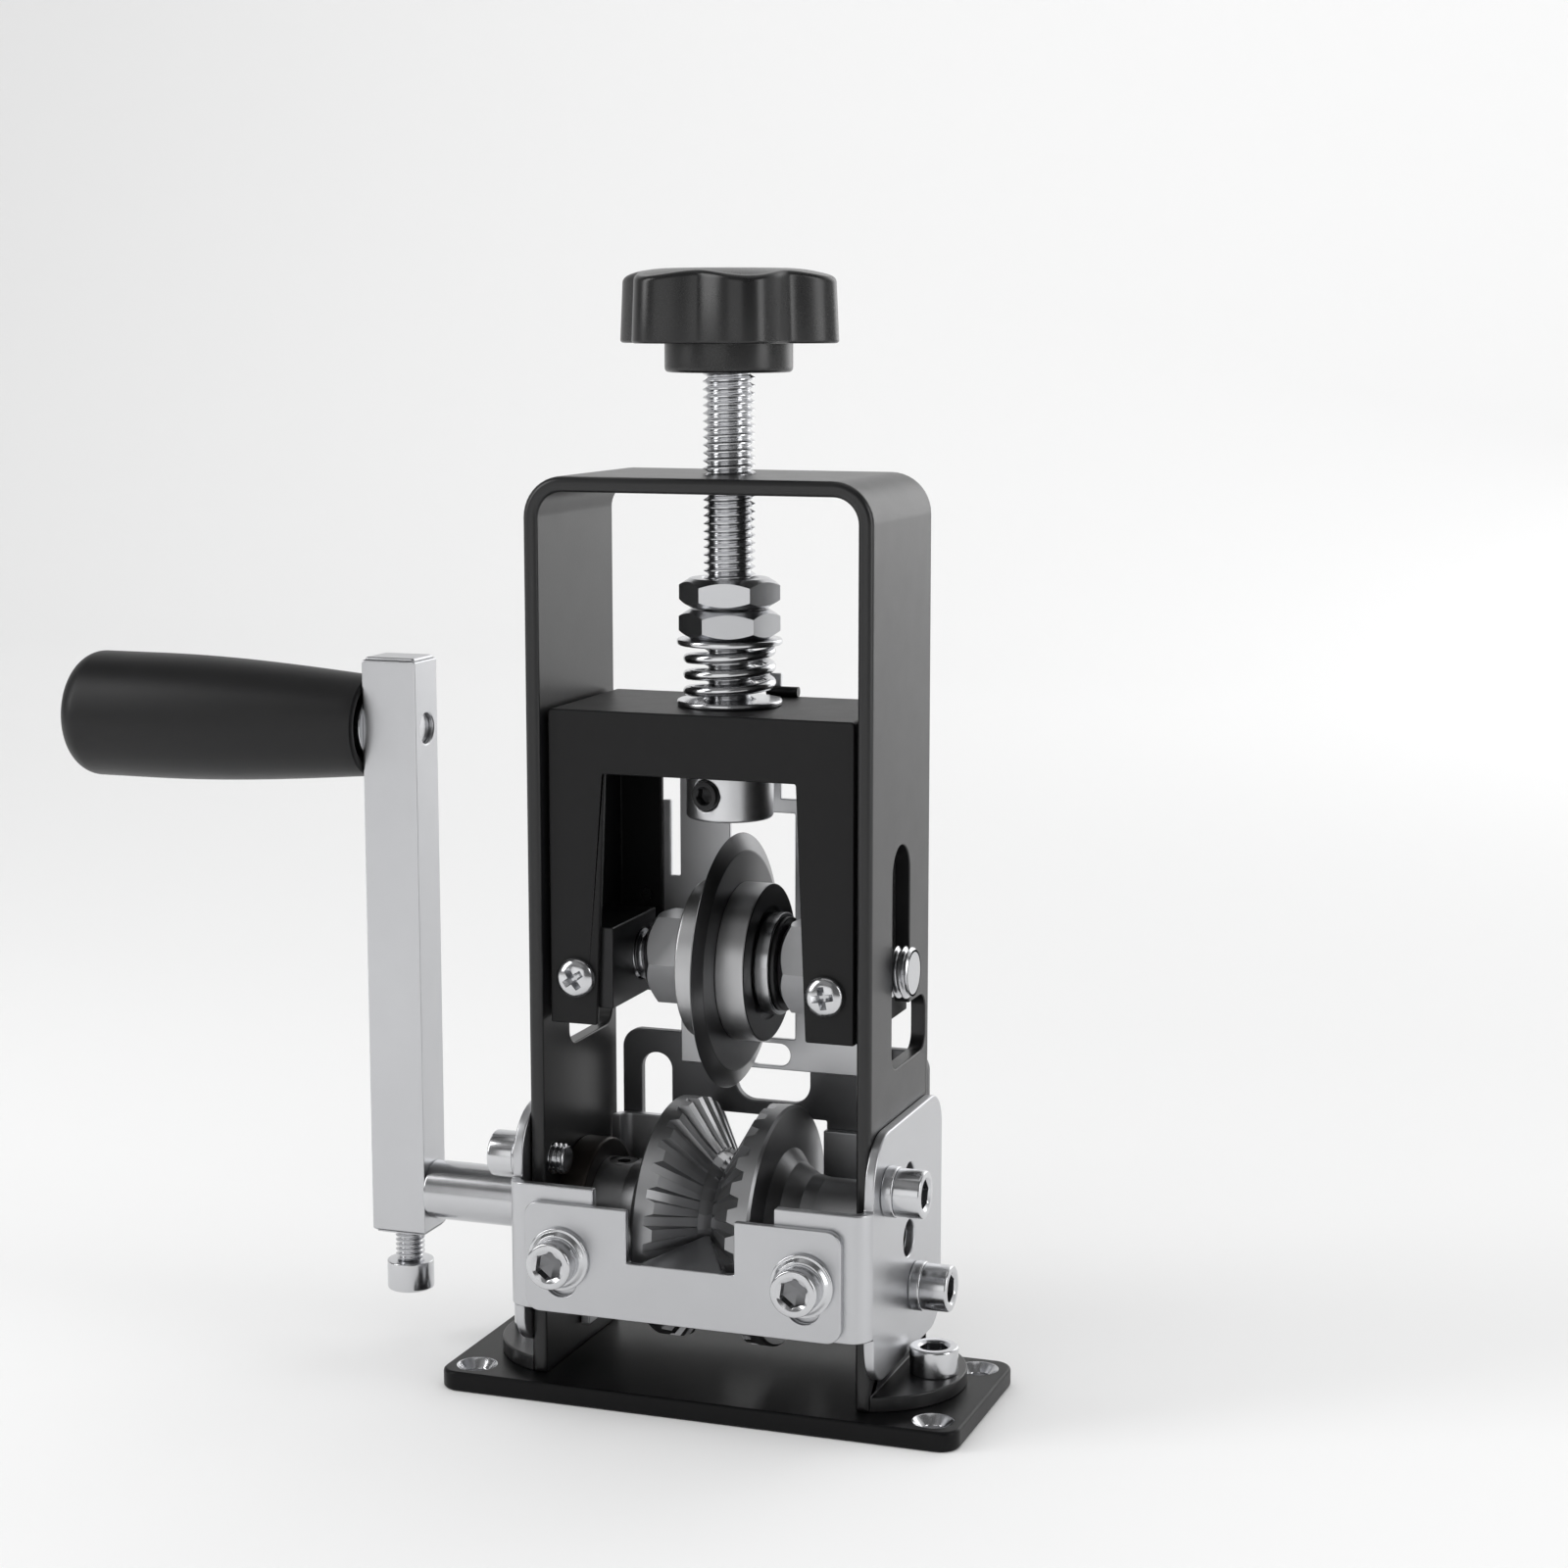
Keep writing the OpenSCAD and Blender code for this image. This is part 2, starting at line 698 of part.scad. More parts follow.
// Rivets through both walls, flush outside so that the bracket's ears lie flat on them
module cross_plate_rivets() {
    color("silver") for (side = [-1, 1]) for (y = cross_rivet_y)
        translate([side * frame_w / 2, y, cross_rivet_z]) rotate([0, -side * 90, 0]) {
            cylinder(h = rivet_head_h, r = rivet_head_r - thread_gap);
            cylinder(h = frame_w / 2 - cross_half + cross_t, r = rivet_r - thread_gap);
            translate([0, 0, frame_w / 2 - cross_half + cross_t])
                cylinder(h = rivet_head_h, r = rivet_head_r);
        }
}

// Adjustable plate in front of the feed roller; a pointed tongue reaches into the roller's groove
module front_guide_plate() {
    plate_front = bracket_front - slide_gap - guide_t;
    plate_back = bracket_front - slide_gap;
    tip_y = axis_y - waist_r - tongue_tip_gap;
    color("gainsboro") union() {
        front_plate(plate_front, plate_back) difference() {
            soft_box(-guide_w / 2, guide_low, guide_w / 2, guide_low + guide_h, guide_corner_r);
            flat_box(-mouth_w / 2, mouth_z, mouth_w / 2, guide_low + guide_h + over);
            for (x = [-guide_screw_x, guide_screw_x])
                soft_box(x - m6_clear_r, guide_slot_z - guide_slot_l / 2, x + m6_clear_r,
                    guide_slot_z + guide_slot_l / 2, m6_clear_r - thread_gap);
        }
        intersection() {
            side_plate(-tongue_half, tongue_half) polygon([
                [plate_front, mouth_z - guide_t], [plate_front, mouth_z],
                [tip_y, mouth_z + tongue_up], [tip_y, mouth_z + tongue_up - guide_t]
            ]);
            translate([0, 0, guide_low]) linear_extrude(guide_h) polygon([
                [-tongue_half, plate_front], [-tongue_half, plate_back],
                [-tongue_tip_half, tip_y], [tongue_tip_half, tip_y],
                [tongue_half, plate_back], [tongue_half, plate_front]
            ]);
        }
    }
}

// Screws that clamp the front guide plate through its slots
module guide_plate_screws() {
    head_y = bracket_front - slide_gap - guide_t - slide_gap - stepped_t - stepped_up;
    color("silver") for (x = [-guide_screw_x, guide_screw_x])
        translate([x, head_y, guide_screw_z]) rotate([90, 0, 0])
            cap_screw(bracket_front + bracket_t + m6_nut_h + m6_edge - head_y,
                head_r = side_head_r, head_h = guide_head_h, key_depth = guide_head_h / 2);
}

// Stepped washers under those screws
module guide_plate_washers() {
    color("gainsboro") for (x = [-guide_screw_x, guide_screw_x])
        translate([x, bracket_front - 2 * slide_gap - guide_t, guide_screw_z])
            rotate([90, 0, 0]) difference() {
                union() {
                    cylinder(h = stepped_t, r = stepped_r);
                    translate([0, 0, stepped_t])
                        cylinder(h = stepped_up, r1 = stepped_r - m6_edge, r2 = stepped_top_r);
                }
                translate([0, 0, -over])
                    cylinder(h = stepped_t + stepped_up + 2 * over, r = m6_r + thread_gap);
            }
}

// Nuts behind the bracket's face
module guide_plate_nuts() {
    color("silver") for (x = [-guide_screw_x, guide_screw_x])
        translate([x, bracket_front + bracket_t, guide_screw_z]) rotate([-90, 0, 0])
            hex_nut(m6_nut_af, m6_nut_h, m6_r + thread_gap, m6_nut_edge);
}

// Upright plate behind the frame with the notch that the wire leaves through
module rear_guide_plate() {
    color("#3a3b3d") front_plate(rear_front, rear_front + rear_t) difference() {
        soft_box(wire_x - rear_half, rear_low, wire_x + rear_half, rear_top, rear_corner_r);
        soft_box(wire_x - notch_w / 2, notch_low, wire_x + notch_w / 2, rear_top + 2 * notch_r,
            notch_r);
        flat_box(-roller_window_half, rear_low - over, roller_window_half, rear_window_top);
        for (side = [-1, 1]) soft_box(wire_x + side * rear_slot_x - m6_clear_r, rear_slot_low,
            wire_x + side * rear_slot_x + m6_clear_r, rear_slot_top, m6_clear_r - thread_gap);
    }
}

// Screws and washers of the rear guide plate
module rear_guide_screws() {
    head_y = rear_front + rear_t + slide_gap + rear_washer_t;
    color("silver") for (side = [-1, 1])
        translate([wire_x + side * rear_slot_x, head_y, rear_screw_z]) rotate([-90, 0, 0])
            cap_screw(head_y - frame_back + cross_t + m6_edge);
}
module rear_guide_washers() {
    color("gainsboro") for (side = [-1, 1])
        translate([wire_x + side * rear_slot_x, rear_front + rear_t + slide_gap, rear_screw_z])
            rotate([-90, 0, 0]) flat_ring(rear_washer_t, rear_washer_r, m6_r + thread_gap);
}

// Drive shaft, turned down to a neck where the crank bar is clamped on it
module drive_shaft() {
    color("silver") translate([0, axis_y, drive_z]) {
        x_rod(bar_right, shaft_right, shaft_r);
        x_rod(bar_left + m6_edge, bar_right, shaft_neck_r);
    }
}

// One cutter between two teeth; it lies on the flank of the groove and runs out at the waist
module tooth_gap() {
    half_w = roller_r * sin(tooth_step / 4);
    tooth_foot = half_w * tooth_foot_share;
    tooth_open = half_w * tooth_open_share;
    flank_x = groove_x;
    flank_z = roller_r - waist_r;
    flank_l = norm([flank_x, flank_z]);
    lean = atan2(flank_x, flank_z);
    sink = atan2(tooth_h, flank_l);
    translate([0, 0, waist_r]) rotate([0, lean + sink, 0]) linear_extrude(2 * flank_l)
        polygon([[-2 * tooth_h, -tooth_open], [-2 * tooth_h, tooth_open], [0, tooth_foot], [0, -tooth_foot]]);
}

// Feed roller: two toothed cones that meet at a waist, with plain rims, flares and sleeves
module feed_roller() {
    color("#4a4b4d") translate([0, axis_y, drive_z]) difference() {
        rotate([0, 90, 0]) rotate_extrude() polygon([
            [0, -sleeve_left], [sleeve_d / 2, -sleeve_left],
            [sleeve_d / 2, -roller_w / 2 - flare_l],
            [sleeve_d / 2 + m6_edge, -roller_w / 2 - flare_l * 2 / 3],
            [(sleeve_d / 2 + flare_r) / 2, -roller_w / 2 - flare_l / 4], [flare_r, -roller_w / 2],
            [roller_r - m6_edge, -roller_w / 2], [roller_r, -roller_w / 2 + m6_edge],
            [roller_r, -groove_x], [waist_r, 0], [roller_r, groove_x],
            [roller_r, roller_w / 2 - m6_edge], [roller_r - m6_edge, roller_w / 2],
            [flare_r, roller_w / 2], [(sleeve_d / 2 + flare_r) / 2, roller_w / 2 + flare_l / 4],
            [sleeve_d / 2 + m6_edge, roller_w / 2 + flare_l * 2 / 3],
            [sleeve_d / 2, roller_w / 2 + flare_l], [sleeve_d / 2, sleeve_right],
            [0, sleeve_right]
        ]);
        x_rod(-sleeve_left - over, sleeve_right + over, shaft_r + thread_gap);
        for (side = [0, 1]) mirror([side, 0, 0]) for (i = [0:tooth_count - 1])
            rotate([i * tooth_step, 0, 0]) tooth_gap();
        translate([-sleeve_left + set_screw_in, 0, shaft_r - thread_gap])
            cylinder(h = sleeve_d, r = grub_r + thread_gap);
    }
}

// Set screw that locks the roller's sleeve to the shaft
module roller_set_screw() {
    color("#1c1c1e") translate([-sleeve_left + set_screw_in, axis_y, drive_z + shaft_r + seat_gap])
        difference() {
            cylinder(h = sleeve_d / 2 - shaft_r - m6_edge, r = grub_r);
            translate([0, 0, (sleeve_d / 2 - shaft_r) / 3])
                cylinder(h = sleeve_d, r = grub_r / 2, $fn = hex);
        }
}

// Bright washer between the roller's right sleeve and its bearing
module thrust_washer() {
    color("silver") translate([sleeve_right + run_gap, axis_y, drive_z]) rotate([0, 90, 0])
        flat_ring(thrust_t, sleeve_d / 2 + m6_edge, shaft_r + run_gap);
}

// Square crank bar
module crank_bar() {
    mid_x = (bar_left + bar_right) / 2;
    color("#b9babd") difference() {
        union() {
            translate([bar_left, axis_y - bar_d / 2, bar_low + bar_edge])
                cube([bar_w, bar_d, bar_top - bar_low - 2 * bar_edge]);
            translate([bar_left + bar_edge, axis_y - bar_d / 2 + bar_edge, bar_low])
                cube([bar_w - 2 * bar_edge, bar_d - 2 * bar_edge, bar_top - bar_low]);
        }
        translate([0, axis_y, drive_z])
            x_rod(bar_left - over, bar_right + over, shaft_neck_r + thread_gap);
        translate([0, axis_y, grip_z])
            x_rod(bar_left - over, bar_right + over, axle_pin_r + thread_gap);
        translate([mid_x, axis_y, bar_low - over])
            cylinder(h = drive_z - bar_low + over, r = m6_r + thread_gap);
    }
}

// Cap screw in the foot of the bar that clamps it on the shaft
module crank_clamp_screw() {
    color("silver") translate([(bar_left + bar_right) / 2, axis_y, bar_low - clamp_gap])
        mirror([0, 0, 1]) cap_screw(drive_z - shaft_neck_r - clamp_clear - bar_low + clamp_gap);
}

// Shoulder screw that the grip turns on, with its chrome neck beside the bar
module handle_axle() {
    grip_end = bar_left - grip_gap - grip_l;
    color("silver") translate([0, axis_y, grip_z]) {
        x_rod(bar_left, bar_right - axle_pin_in, axle_pin_r);
        x_rod(bar_left - axle_neck_l, bar_left, axle_neck_r);
        x_rod(grip_end + axle_end_h + grip_gap, bar_left - axle_neck_l, axle_r);
        x_rod(grip_end + grip_gap, grip_end + axle_end_h + grip_gap, axle_end_r);
    }
}

// Radius of the grip at a share of its length, measured from the bar
function grip_radius(s) = grip_neck_d / 2 + (grip_d - grip_neck_d) / 2
    * sin(90 * min(1, s * 1.25));

// Tapered grip with a round outer end and a recess at the bar
module handle_grip() {
    body_l = grip_l - grip_end_r;
    end_r = grip_radius(1);
    side = [for (i = [0:grip_steps]) [grip_radius(i / grip_steps), i / grip_steps * body_l]];
    cap = [for (a = [15:15:90]) [end_r - grip_end_r * (1 - cos(a)), body_l + grip_end_r * sin(a)]];
    color("#171719") translate([bar_left - grip_gap, axis_y, grip_z]) rotate([0, -90, 0])
        difference() {
            rotate_extrude() polygon(concat([[0, 0]], side, cap, [[0, grip_l]]));
            translate([0, 0, -over]) cylinder(h = grip_l + 2 * over, r = axle_r + run_gap);
            translate([0, 0, -over]) cylinder(h = grip_recess_l + over, r = grip_recess_r);
            translate([0, 0, grip_l - axle_end_h - 2 * grip_gap])
                cylinder(h = axle_end_h + 2 * grip_gap + over, r = axle_end_r + grip_gap);
        }
}

// Pressure screw, from inside the knob down into the collar
module pressure_screw() {
    color("silver") translate([0, axis_y, screw_low])
        cylinder(h = screw_high - screw_low, r = screw_r);
}

// Star knob with six soft lobes, a crowned top and a round hub
module star_knob() {
    lobe_r = knob_d / 2 * lobe_r_share;
    head_r = knob_d / 2;
    color("#161618") translate([0, axis_y, knob_z]) difference() {
        union() {
            rotate_extrude() polygon([
                [0, 0], [knob_hub_d / 2 - m6_edge, 0], [knob_hub_d / 2, m6_edge],
                [knob_hub_d / 2, knob_hub_h + over], [0, knob_hub_h + over]
            ]);
            translate([0, 0, knob_hub_h]) intersection() {
                rotate([0, 0, knob_turn]) linear_extrude(knob_h + over) {
                    circle(r = head_r * knob_core_share);
                    for (i = [0:knob_lobes - 1]) rotate(i * 360 / knob_lobes)
                        translate([head_r - lobe_r, 0]) circle(r = lobe_r);
                }
                rotate_extrude() polygon(concat(
                    [[0, 0], [head_r - m6_edge, 0], [head_r, m6_edge]],
                    [for (a = [0:15:75]) [head_r - knob_edge_r * (1 - cos(a)),
                        knob_h - knob_crown - knob_edge_r * (1 - sin(a))]],
                    [[head_r - knob_edge_r, knob_h - knob_crown], [head_r / 2, knob_h - knob_crown / 4],
                     [0, knob_h]]
                ));
            }
        }
        translate([0, 0, -over])
            cylinder(h = screw_high - knob_z + over + seat_gap, r = screw_r + thread_gap);
    }
}

// Thin lock nuts on the pressure screw
module upper_lock_nut() {
    color("#c8c9cc") translate([0, axis_y, upper_nut_z]) rotate([0, 0, upper_nut_turn])
        hex_nut(nut_af, nut_h, screw_r + thread_gap);
}
module lower_lock_nut() {
    color("#c8c9cc") translate([0, axis_y, lower_nut_z]) rotate([0, 0, lower_nut_turn])
        hex_nut(nut_af, nut_h, screw_r + thread_gap);
}

// Washers above and below the pressure spring
module upper_spring_washer() {
    color("silver") translate([0, axis_y, spring_high])
        flat_ring(washer_t, washer_r, screw_r + run_gap);
}
module lower_spring_washer() {
    color("silver") translate([0, axis_y, carriage_z])
        flat_ring(washer_t, washer_r, screw_r + run_gap);
}

// Centre line and skin of the coiled wire, rings of points from a formula
coil_rings = 8;
coil_sides = 6;
coil_r = (spring_d - spring_wire_d) / 2;
wire_r = spring_wire_d / 2;
coil_low = spring_low + wire_r + seat_gap;
coil_rise = spring_h - 2 * (wire_r + seat_gap);
coil_count = round(spring_turns * coil_rings);
function coil_centre(i) = [
    coil_r * cos(i * 360 / coil_rings), coil_r * sin(i * 360 / coil_rings),
    coil_low + coil_rise * i / coil_count
];
function coil_ring(i) = [for (j = [0:coil_sides - 1]) let (a = j * 360 / coil_sides) [
    (coil_r + wire_r * cos(a)) * cos(i * 360 / coil_rings),
    (coil_r + wire_r * cos(a)) * sin(i * 360 / coil_rings),
    coil_centre(i)[2] + wire_r * sin(a)
]];
coil_gaps = [for (i = [0:coil_count]) for (k = [i + coil_rings - 2:coil_count])
    if (k > i) for (p = coil_ring(i)) for (q = coil_ring(k)) norm(p - q)];
echo(coil_least_gap = min(coil_gaps));

// Pressure spring, one unbroken round wire
module pressure_spring() {
    n = coil_sides;
    points = [for (i = [0:coil_count]) each coil_ring(i)];
    skin = [for (i = [0:coil_count - 1]) for (j = [0:n - 1])
        let (a = i * n + j, b = i * n + (j + 1) % n)
        each [[a, a + n, b], [b, a + n, b + n]]];
    start_cap = [for (j = [1:n - 2]) [0, j, j + 1]];
    end_cap = [for (j = [1:n - 2]) [coil_count * n, coil_count * n + j + 1, coil_count * n + j]];
    color("#d0d1d4") translate([0, axis_y, 0]) rotate([0, 0, coil_turn])
        polyhedron(points = points, faces = concat(skin, start_cap, end_cap));
}

// Collar fixed on the screw below the carriage's top, which lifts the carriage
module screw_collar() {
    color("silver") translate([0, axis_y, collar_low]) difference() {
        rotate_extrude() polygon([
            [0, 0], [collar_d / 2 - m6_edge, 0], [collar_d / 2, m6_edge],
            [collar_d / 2, collar_h - m6_edge], [collar_d / 2 - m6_edge, collar_h], [0, collar_h]
        ]);
        translate([0, 0, screw_low - collar_low])
            cylinder(h = collar_h + over, r = screw_r + thread_gap);
        translate([0, 0, grub_up]) rotate([0, 0, grub_angle])
            x_rod(screw_r, collar_d, grub_r + thread_gap);
    }
}

// Black socket set screw in the collar
module collar_set_screw() {
    color("#1c1c1e") translate([0, axis_y, collar_low + grub_up]) rotate([0, 0, grub_angle])
        difference() {
            x_rod(screw_r + seat_gap, collar_d / 2 + m6_edge, grub_r);
            translate([collar_d / 2 - m6_edge * 3, 0, 0]) rotate([0, 90, 0])
                cylinder(h = m6_edge * 3 + over, r = grub_r / 2, $fn = hex);
        }
}

// Front opening of the carriage, from its foot up
module carriage_front_opening() {
    half_top = carriage_w / 2 - leg_top_w;
    half_low = carriage_w / 2 - leg_low_w;
    polygon([
        [-half_low, carriage_low - over], [-half_top, carriage_z - cross_h],
        [half_top, carriage_z - cross_h], [half_low, carriage_low - over]
    ]);
}

// Black sheet carriage that holds the blade shaft
module blade_carriage() {
    half = carriage_w / 2;
    color("#19191b") difference() {
        front_plate(carriage_front, carriage_back)
            translate([0, carriage_low]) {
                flat_box(-half, 0, half, carriage_h - carriage_corner_r);
                soft_box(-half, carriage_h - 3 * carriage_corner_r, half, carriage_h,
                    carriage_corner_r);
            }
        translate([-carriage_in, carriage_front + carriage_t, carriage_low - over])
            cube([2 * carriage_in, carriage_d - 2 * carriage_t, carriage_h - carriage_t + over]);
        front_plate(carriage_front - over, carriage_front + carriage_t + over)
            carriage_front_opening();
        front_plate(carriage_back - carriage_t - over, carriage_back + over)
            flat_box(-half + rear_leg_w, carriage_low - over, half - rear_leg_w,
                carriage_z - carriage_t);
        translate([0, axis_y, carriage_z - carriage_t - over])
            cylinder(h = carriage_t + 2 * over, r = screw_r + seat_gap);
        translate([0, axis_y, blade_z])
            x_rod(-half - over, half + over, blade_shaft_d / 2 + thread_gap);
        for (x = [-m4_x, m4_x]) translate([x, 0, m4_z])
            y_rod(carriage_front - over, carriage_front + carriage_t + over, m4_r + thread_gap);
        tail_rivet_holes();
    }
}

// Rivet holes through the carriage's rear flanges and its rear plate
module tail_rivet_holes() {
    for (x = [-tail_rivet_x, tail_rivet_x]) for (up = tail_rivet_up) translate([x, 0, carriage_low + up])
        y_rod(carriage_back - carriage_t - over, carriage_back + tail_t + over, rivet_r);
}

// Cross-recess pan head screws in the carriage's front legs
module carriage_screws() {
    head = [for (a = [0:15:90]) [m4_head_r * cos(a), m4_head_h * sin(a)]];
    recess_w = m4_r / 2;
    color("silver") for (x = [-m4_x, m4_x])
        translate([x, carriage_front, m4_z]) rotate([90, 0, 0]) difference() {
            rotate_extrude() polygon(concat([[0, -m4_l], [m4_r, -m4_l], [m4_r, 0]], head));
            for (turn = [20, 110]) rotate([0, 0, turn])
                translate([-m4_r, -recess_w / 2, m4_head_h / 3]) cube([2 * m4_r, recess_w, m4_head_h]);
        }
}

// Silver plate on the carriage's back, with the blade's window and the wire's way out
module carriage_rear_plate() {
    color("#a9aaad") difference() {
        front_plate(carriage_back, carriage_back + tail_t) difference() {
            union() {
                flat_box(tail_bar_left, tail_low, tail_bar_right, carriage_z - carriage_t);
                flat_box(-wing_half, wing_low, tail_bar_right, wing_top);
                flat_box(finger_left, wing_low, finger_right, finger_top);
                flat_box(tail_bar_left, tail_low, wing_half, tail_bar_top);
                flat_box(tail_window_right, tail_low, wing_half, tail_rail_top);
                flat_box(tail_bar_left, tail_window_top, wing_half, tail_rail_top);
                flat_box(tab_x - tab_w / 2, tail_window_top, tab_x + tab_w / 2,
                    carriage_z + tab_up);
            }
            soft_box(wire_x - wire_hole_w / 2, wire_hole_z - wire_hole_h / 2,
                wire_x + wire_hole_w / 2, wire_hole_z + wire_hole_h / 2,
                wire_hole_h / 2 - thread_gap);
        }
        tail_rivet_holes();
    }
}

// Rivets that hold the rear plate on the carriage's rear flanges, flush inside
module rear_plate_rivets() {
    color("silver") for (x = [-tail_rivet_x, tail_rivet_x]) for (up = tail_rivet_up)
        translate([x, carriage_back - carriage_t, carriage_low + up]) rotate([-90, 0, 0]) {
            cylinder(h = carriage_t + tail_t, r = rivet_r - thread_gap);
            translate([0, 0, carriage_t + tail_t]) cylinder(h = rivet_head_h, r = rivet_head_r);
        }
}

// Black retaining pin that lies on the carriage's top in front of the tab
module rear_plate_pin() {
    color("#141416") translate([tab_x - tab_w / 2, carriage_back - tail_pin_r, carriage_z])
        translate([0, 0, tail_pin_r]) x_rod(0, tail_pin_l, tail_pin_r);
}

// Black blocks inside the carriage's walls that the shaft and the front screws go into
module shaft_block(t) {
    difference() {
        translate([carriage_in - t, carriage_front + carriage_t, blade_z - block_h / 2])
            cube([t - block_gap, axis_y - carriage_front - carriage_t + block_w / 2, block_h]);
        translate([0, axis_y, blade_z]) x_rod(0, carriage_w, blade_shaft_d / 2 + thread_gap);
        translate([m4_x, 0, m4_z])
            y_rod(carriage_front, carriage_front + m4_l + over, m4_r + thread_gap);
    }
}
module shaft_blocks() {
    color("#141416") {
        mirror([1, 0, 0]) shaft_block(left_block_t);
        shaft_block(right_block_t);
    }
}

// Threaded shaft that carries the blade and reaches through both slots
module blade_shaft() {
    color("#8e8f92") translate([0, axis_y, blade_z]) rotate([0, 90, 0])
        translate([0, 0, -frame_w / 2 - shaft_end_over])
            cylinder(h = frame_w + 2 * shaft_end_over, r = blade_shaft_d / 2);
}

// Nuts that clamp the blade's bush between them
module left_shaft_nut() {
    color("#c8c9cc")
        translate([left_nut_x, axis_y, blade_z]) rotate([0, 90, 0]) rotate([0, 0, 30])
            hex_nut(nut_af, left_nut_h, blade_shaft_d / 2 + thread_gap);
}
module right_shaft_nut() {
    color("#c8c9cc")
        translate([right_nut_x, axis_y, blade_z]) rotate([0, 90, 0]) rotate([0, 0, 30])
            hex_nut(nut_af, right_nut_h, blade_shaft_d / 2 + thread_gap);
}

// Round cutting blade with a bevel on both faces
module cutting_blade() {
    r = blade_d / 2;
    color("#57585b") translate([blade_x, axis_y, blade_z]) rotate([0, 90, 0]) difference() {
        rotate_extrude() polygon([
            [0, -blade_t / 2], [r - blade_edge, -blade_t / 2], [r, -blade_tip_t / 2],
            [r, blade_tip_t / 2], [r - blade_edge, blade_t / 2], [0, blade_t / 2]
        ]);
        translate([0, 0, -blade_t]) cylinder(h = 2 * blade_t, r = bush_r);
    }
}

// Flanges that clamp the blade from both sides
module left_blade_flange() {
    color("#8a8b8e") translate([blade_left - blade_flange_t, axis_y, blade_z]) rotate([0, 90, 0])
        difference() {
            rotate_extrude() polygon([
                [0, 0], [flange_d / 2 - m6_edge, 0], [flange_d / 2, m6_edge],
                [flange_d / 2, blade_flange_t], [0, blade_flange_t]
            ]);
            translate([0, 0, -over])
                cylinder(h = blade_flange_t + 2 * over, r = bush_r);
        }
}
module right_blade_flange() {
    color("#8a8b8e") translate([blade_right, axis_y, blade_z]) rotate([0, 90, 0]) difference() {
        rotate_extrude() polygon([
            [0, 0], [flange_d / 2, 0], [flange_d / 2, blade_flange_t - m6_edge],
            [flange_d / 2 - m6_edge, blade_flange_t], [0, blade_flange_t]
        ]);
        translate([0, 0, -over]) cylinder(h = blade_flange_t + 2 * over, r = bush_r);
    }
}

// Bush that the blade and its flanges sit on; it turns on the shaft
module blade_bush() {
    clamped_w = 2 * blade_flange_t + blade_t;
    bush_l = clamped_w + bush_rim_t + ring_t;
    color("#d4d5d8") translate([blade_left - blade_flange_t, axis_y, blade_z]) difference() {
        union() {
            x_rod(0, bush_l, bush_r);
            x_rod(clamped_w, clamped_w + bush_rim_t, bush_rim_r);
        }
        x_rod(-over, bush_l + over, blade_shaft_d / 2 + run_gap);
    }
}

// Black ring that keeps the bush in the right flange
module bush_ring() {
    color("#141416")
        translate([blade_right + blade_flange_t + bush_rim_t, axis_y, blade_z])
            rotate([0, 90, 0]) flat_ring(ring_t, ring_r, bush_r);
}

base_plate();
main_frame();
foot_screws();
guide_bracket();
bracket_screws();
bracket_spacers();
left_bearing();
right_bearing();
rear_cross_plate();
cross_plate_rivets();
front_guide_plate();
guide_plate_screws();
guide_plate_washers();
guide_plate_nuts();
rear_guide_plate();
rear_guide_screws();
rear_guide_washers();
drive_shaft();
feed_roller();
roller_set_screw();
thrust_washer();
crank_bar();
crank_clamp_screw();
handle_axle();
handle_grip();
pressure_screw();
star_knob();
upper_lock_nut();
lower_lock_nut();
upper_spring_washer();
pressure_spring();
lower_spring_washer();
screw_collar();
collar_set_screw();
blade_carriage();
carriage_screws();
carriage_rear_plate();
rear_plate_rivets();
rear_plate_pin();
shaft_blocks();
blade_shaft();
left_shaft_nut();
right_shaft_nut();
cutting_blade();
left_blade_flange();
right_blade_flange();
blade_bush();
bush_ring();
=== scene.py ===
"""Looks of the hand crank wire stripper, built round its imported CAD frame.

Lengths are in millimetres until a mesh is made, which is in metres like the frame.
X runs along the drive shaft, Y from front to back, Z up.
"""

import json
import math
from collections import namedtuple

import bmesh
import bpy
from mathutils import Matrix, Vector

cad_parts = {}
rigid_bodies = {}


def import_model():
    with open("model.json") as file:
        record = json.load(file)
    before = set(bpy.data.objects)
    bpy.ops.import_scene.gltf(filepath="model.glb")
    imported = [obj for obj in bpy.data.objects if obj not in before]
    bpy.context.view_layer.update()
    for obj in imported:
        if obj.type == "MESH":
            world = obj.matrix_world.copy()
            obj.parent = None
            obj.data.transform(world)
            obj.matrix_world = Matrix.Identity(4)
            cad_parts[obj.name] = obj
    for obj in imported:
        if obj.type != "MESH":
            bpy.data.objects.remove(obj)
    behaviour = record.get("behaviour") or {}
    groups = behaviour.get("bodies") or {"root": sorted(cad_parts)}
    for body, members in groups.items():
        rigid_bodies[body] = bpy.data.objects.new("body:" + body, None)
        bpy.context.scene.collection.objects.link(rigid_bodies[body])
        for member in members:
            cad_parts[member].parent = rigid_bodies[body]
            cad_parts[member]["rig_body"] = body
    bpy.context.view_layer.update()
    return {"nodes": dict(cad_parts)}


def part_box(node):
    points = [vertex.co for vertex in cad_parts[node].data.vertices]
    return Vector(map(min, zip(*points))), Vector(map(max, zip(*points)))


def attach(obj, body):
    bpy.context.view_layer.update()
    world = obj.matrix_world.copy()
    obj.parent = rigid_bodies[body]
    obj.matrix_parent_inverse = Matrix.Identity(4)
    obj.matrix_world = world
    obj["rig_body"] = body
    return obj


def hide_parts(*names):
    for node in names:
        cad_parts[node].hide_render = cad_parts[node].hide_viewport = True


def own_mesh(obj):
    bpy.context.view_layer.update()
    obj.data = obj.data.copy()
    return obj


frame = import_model()
NODES = frame["nodes"]
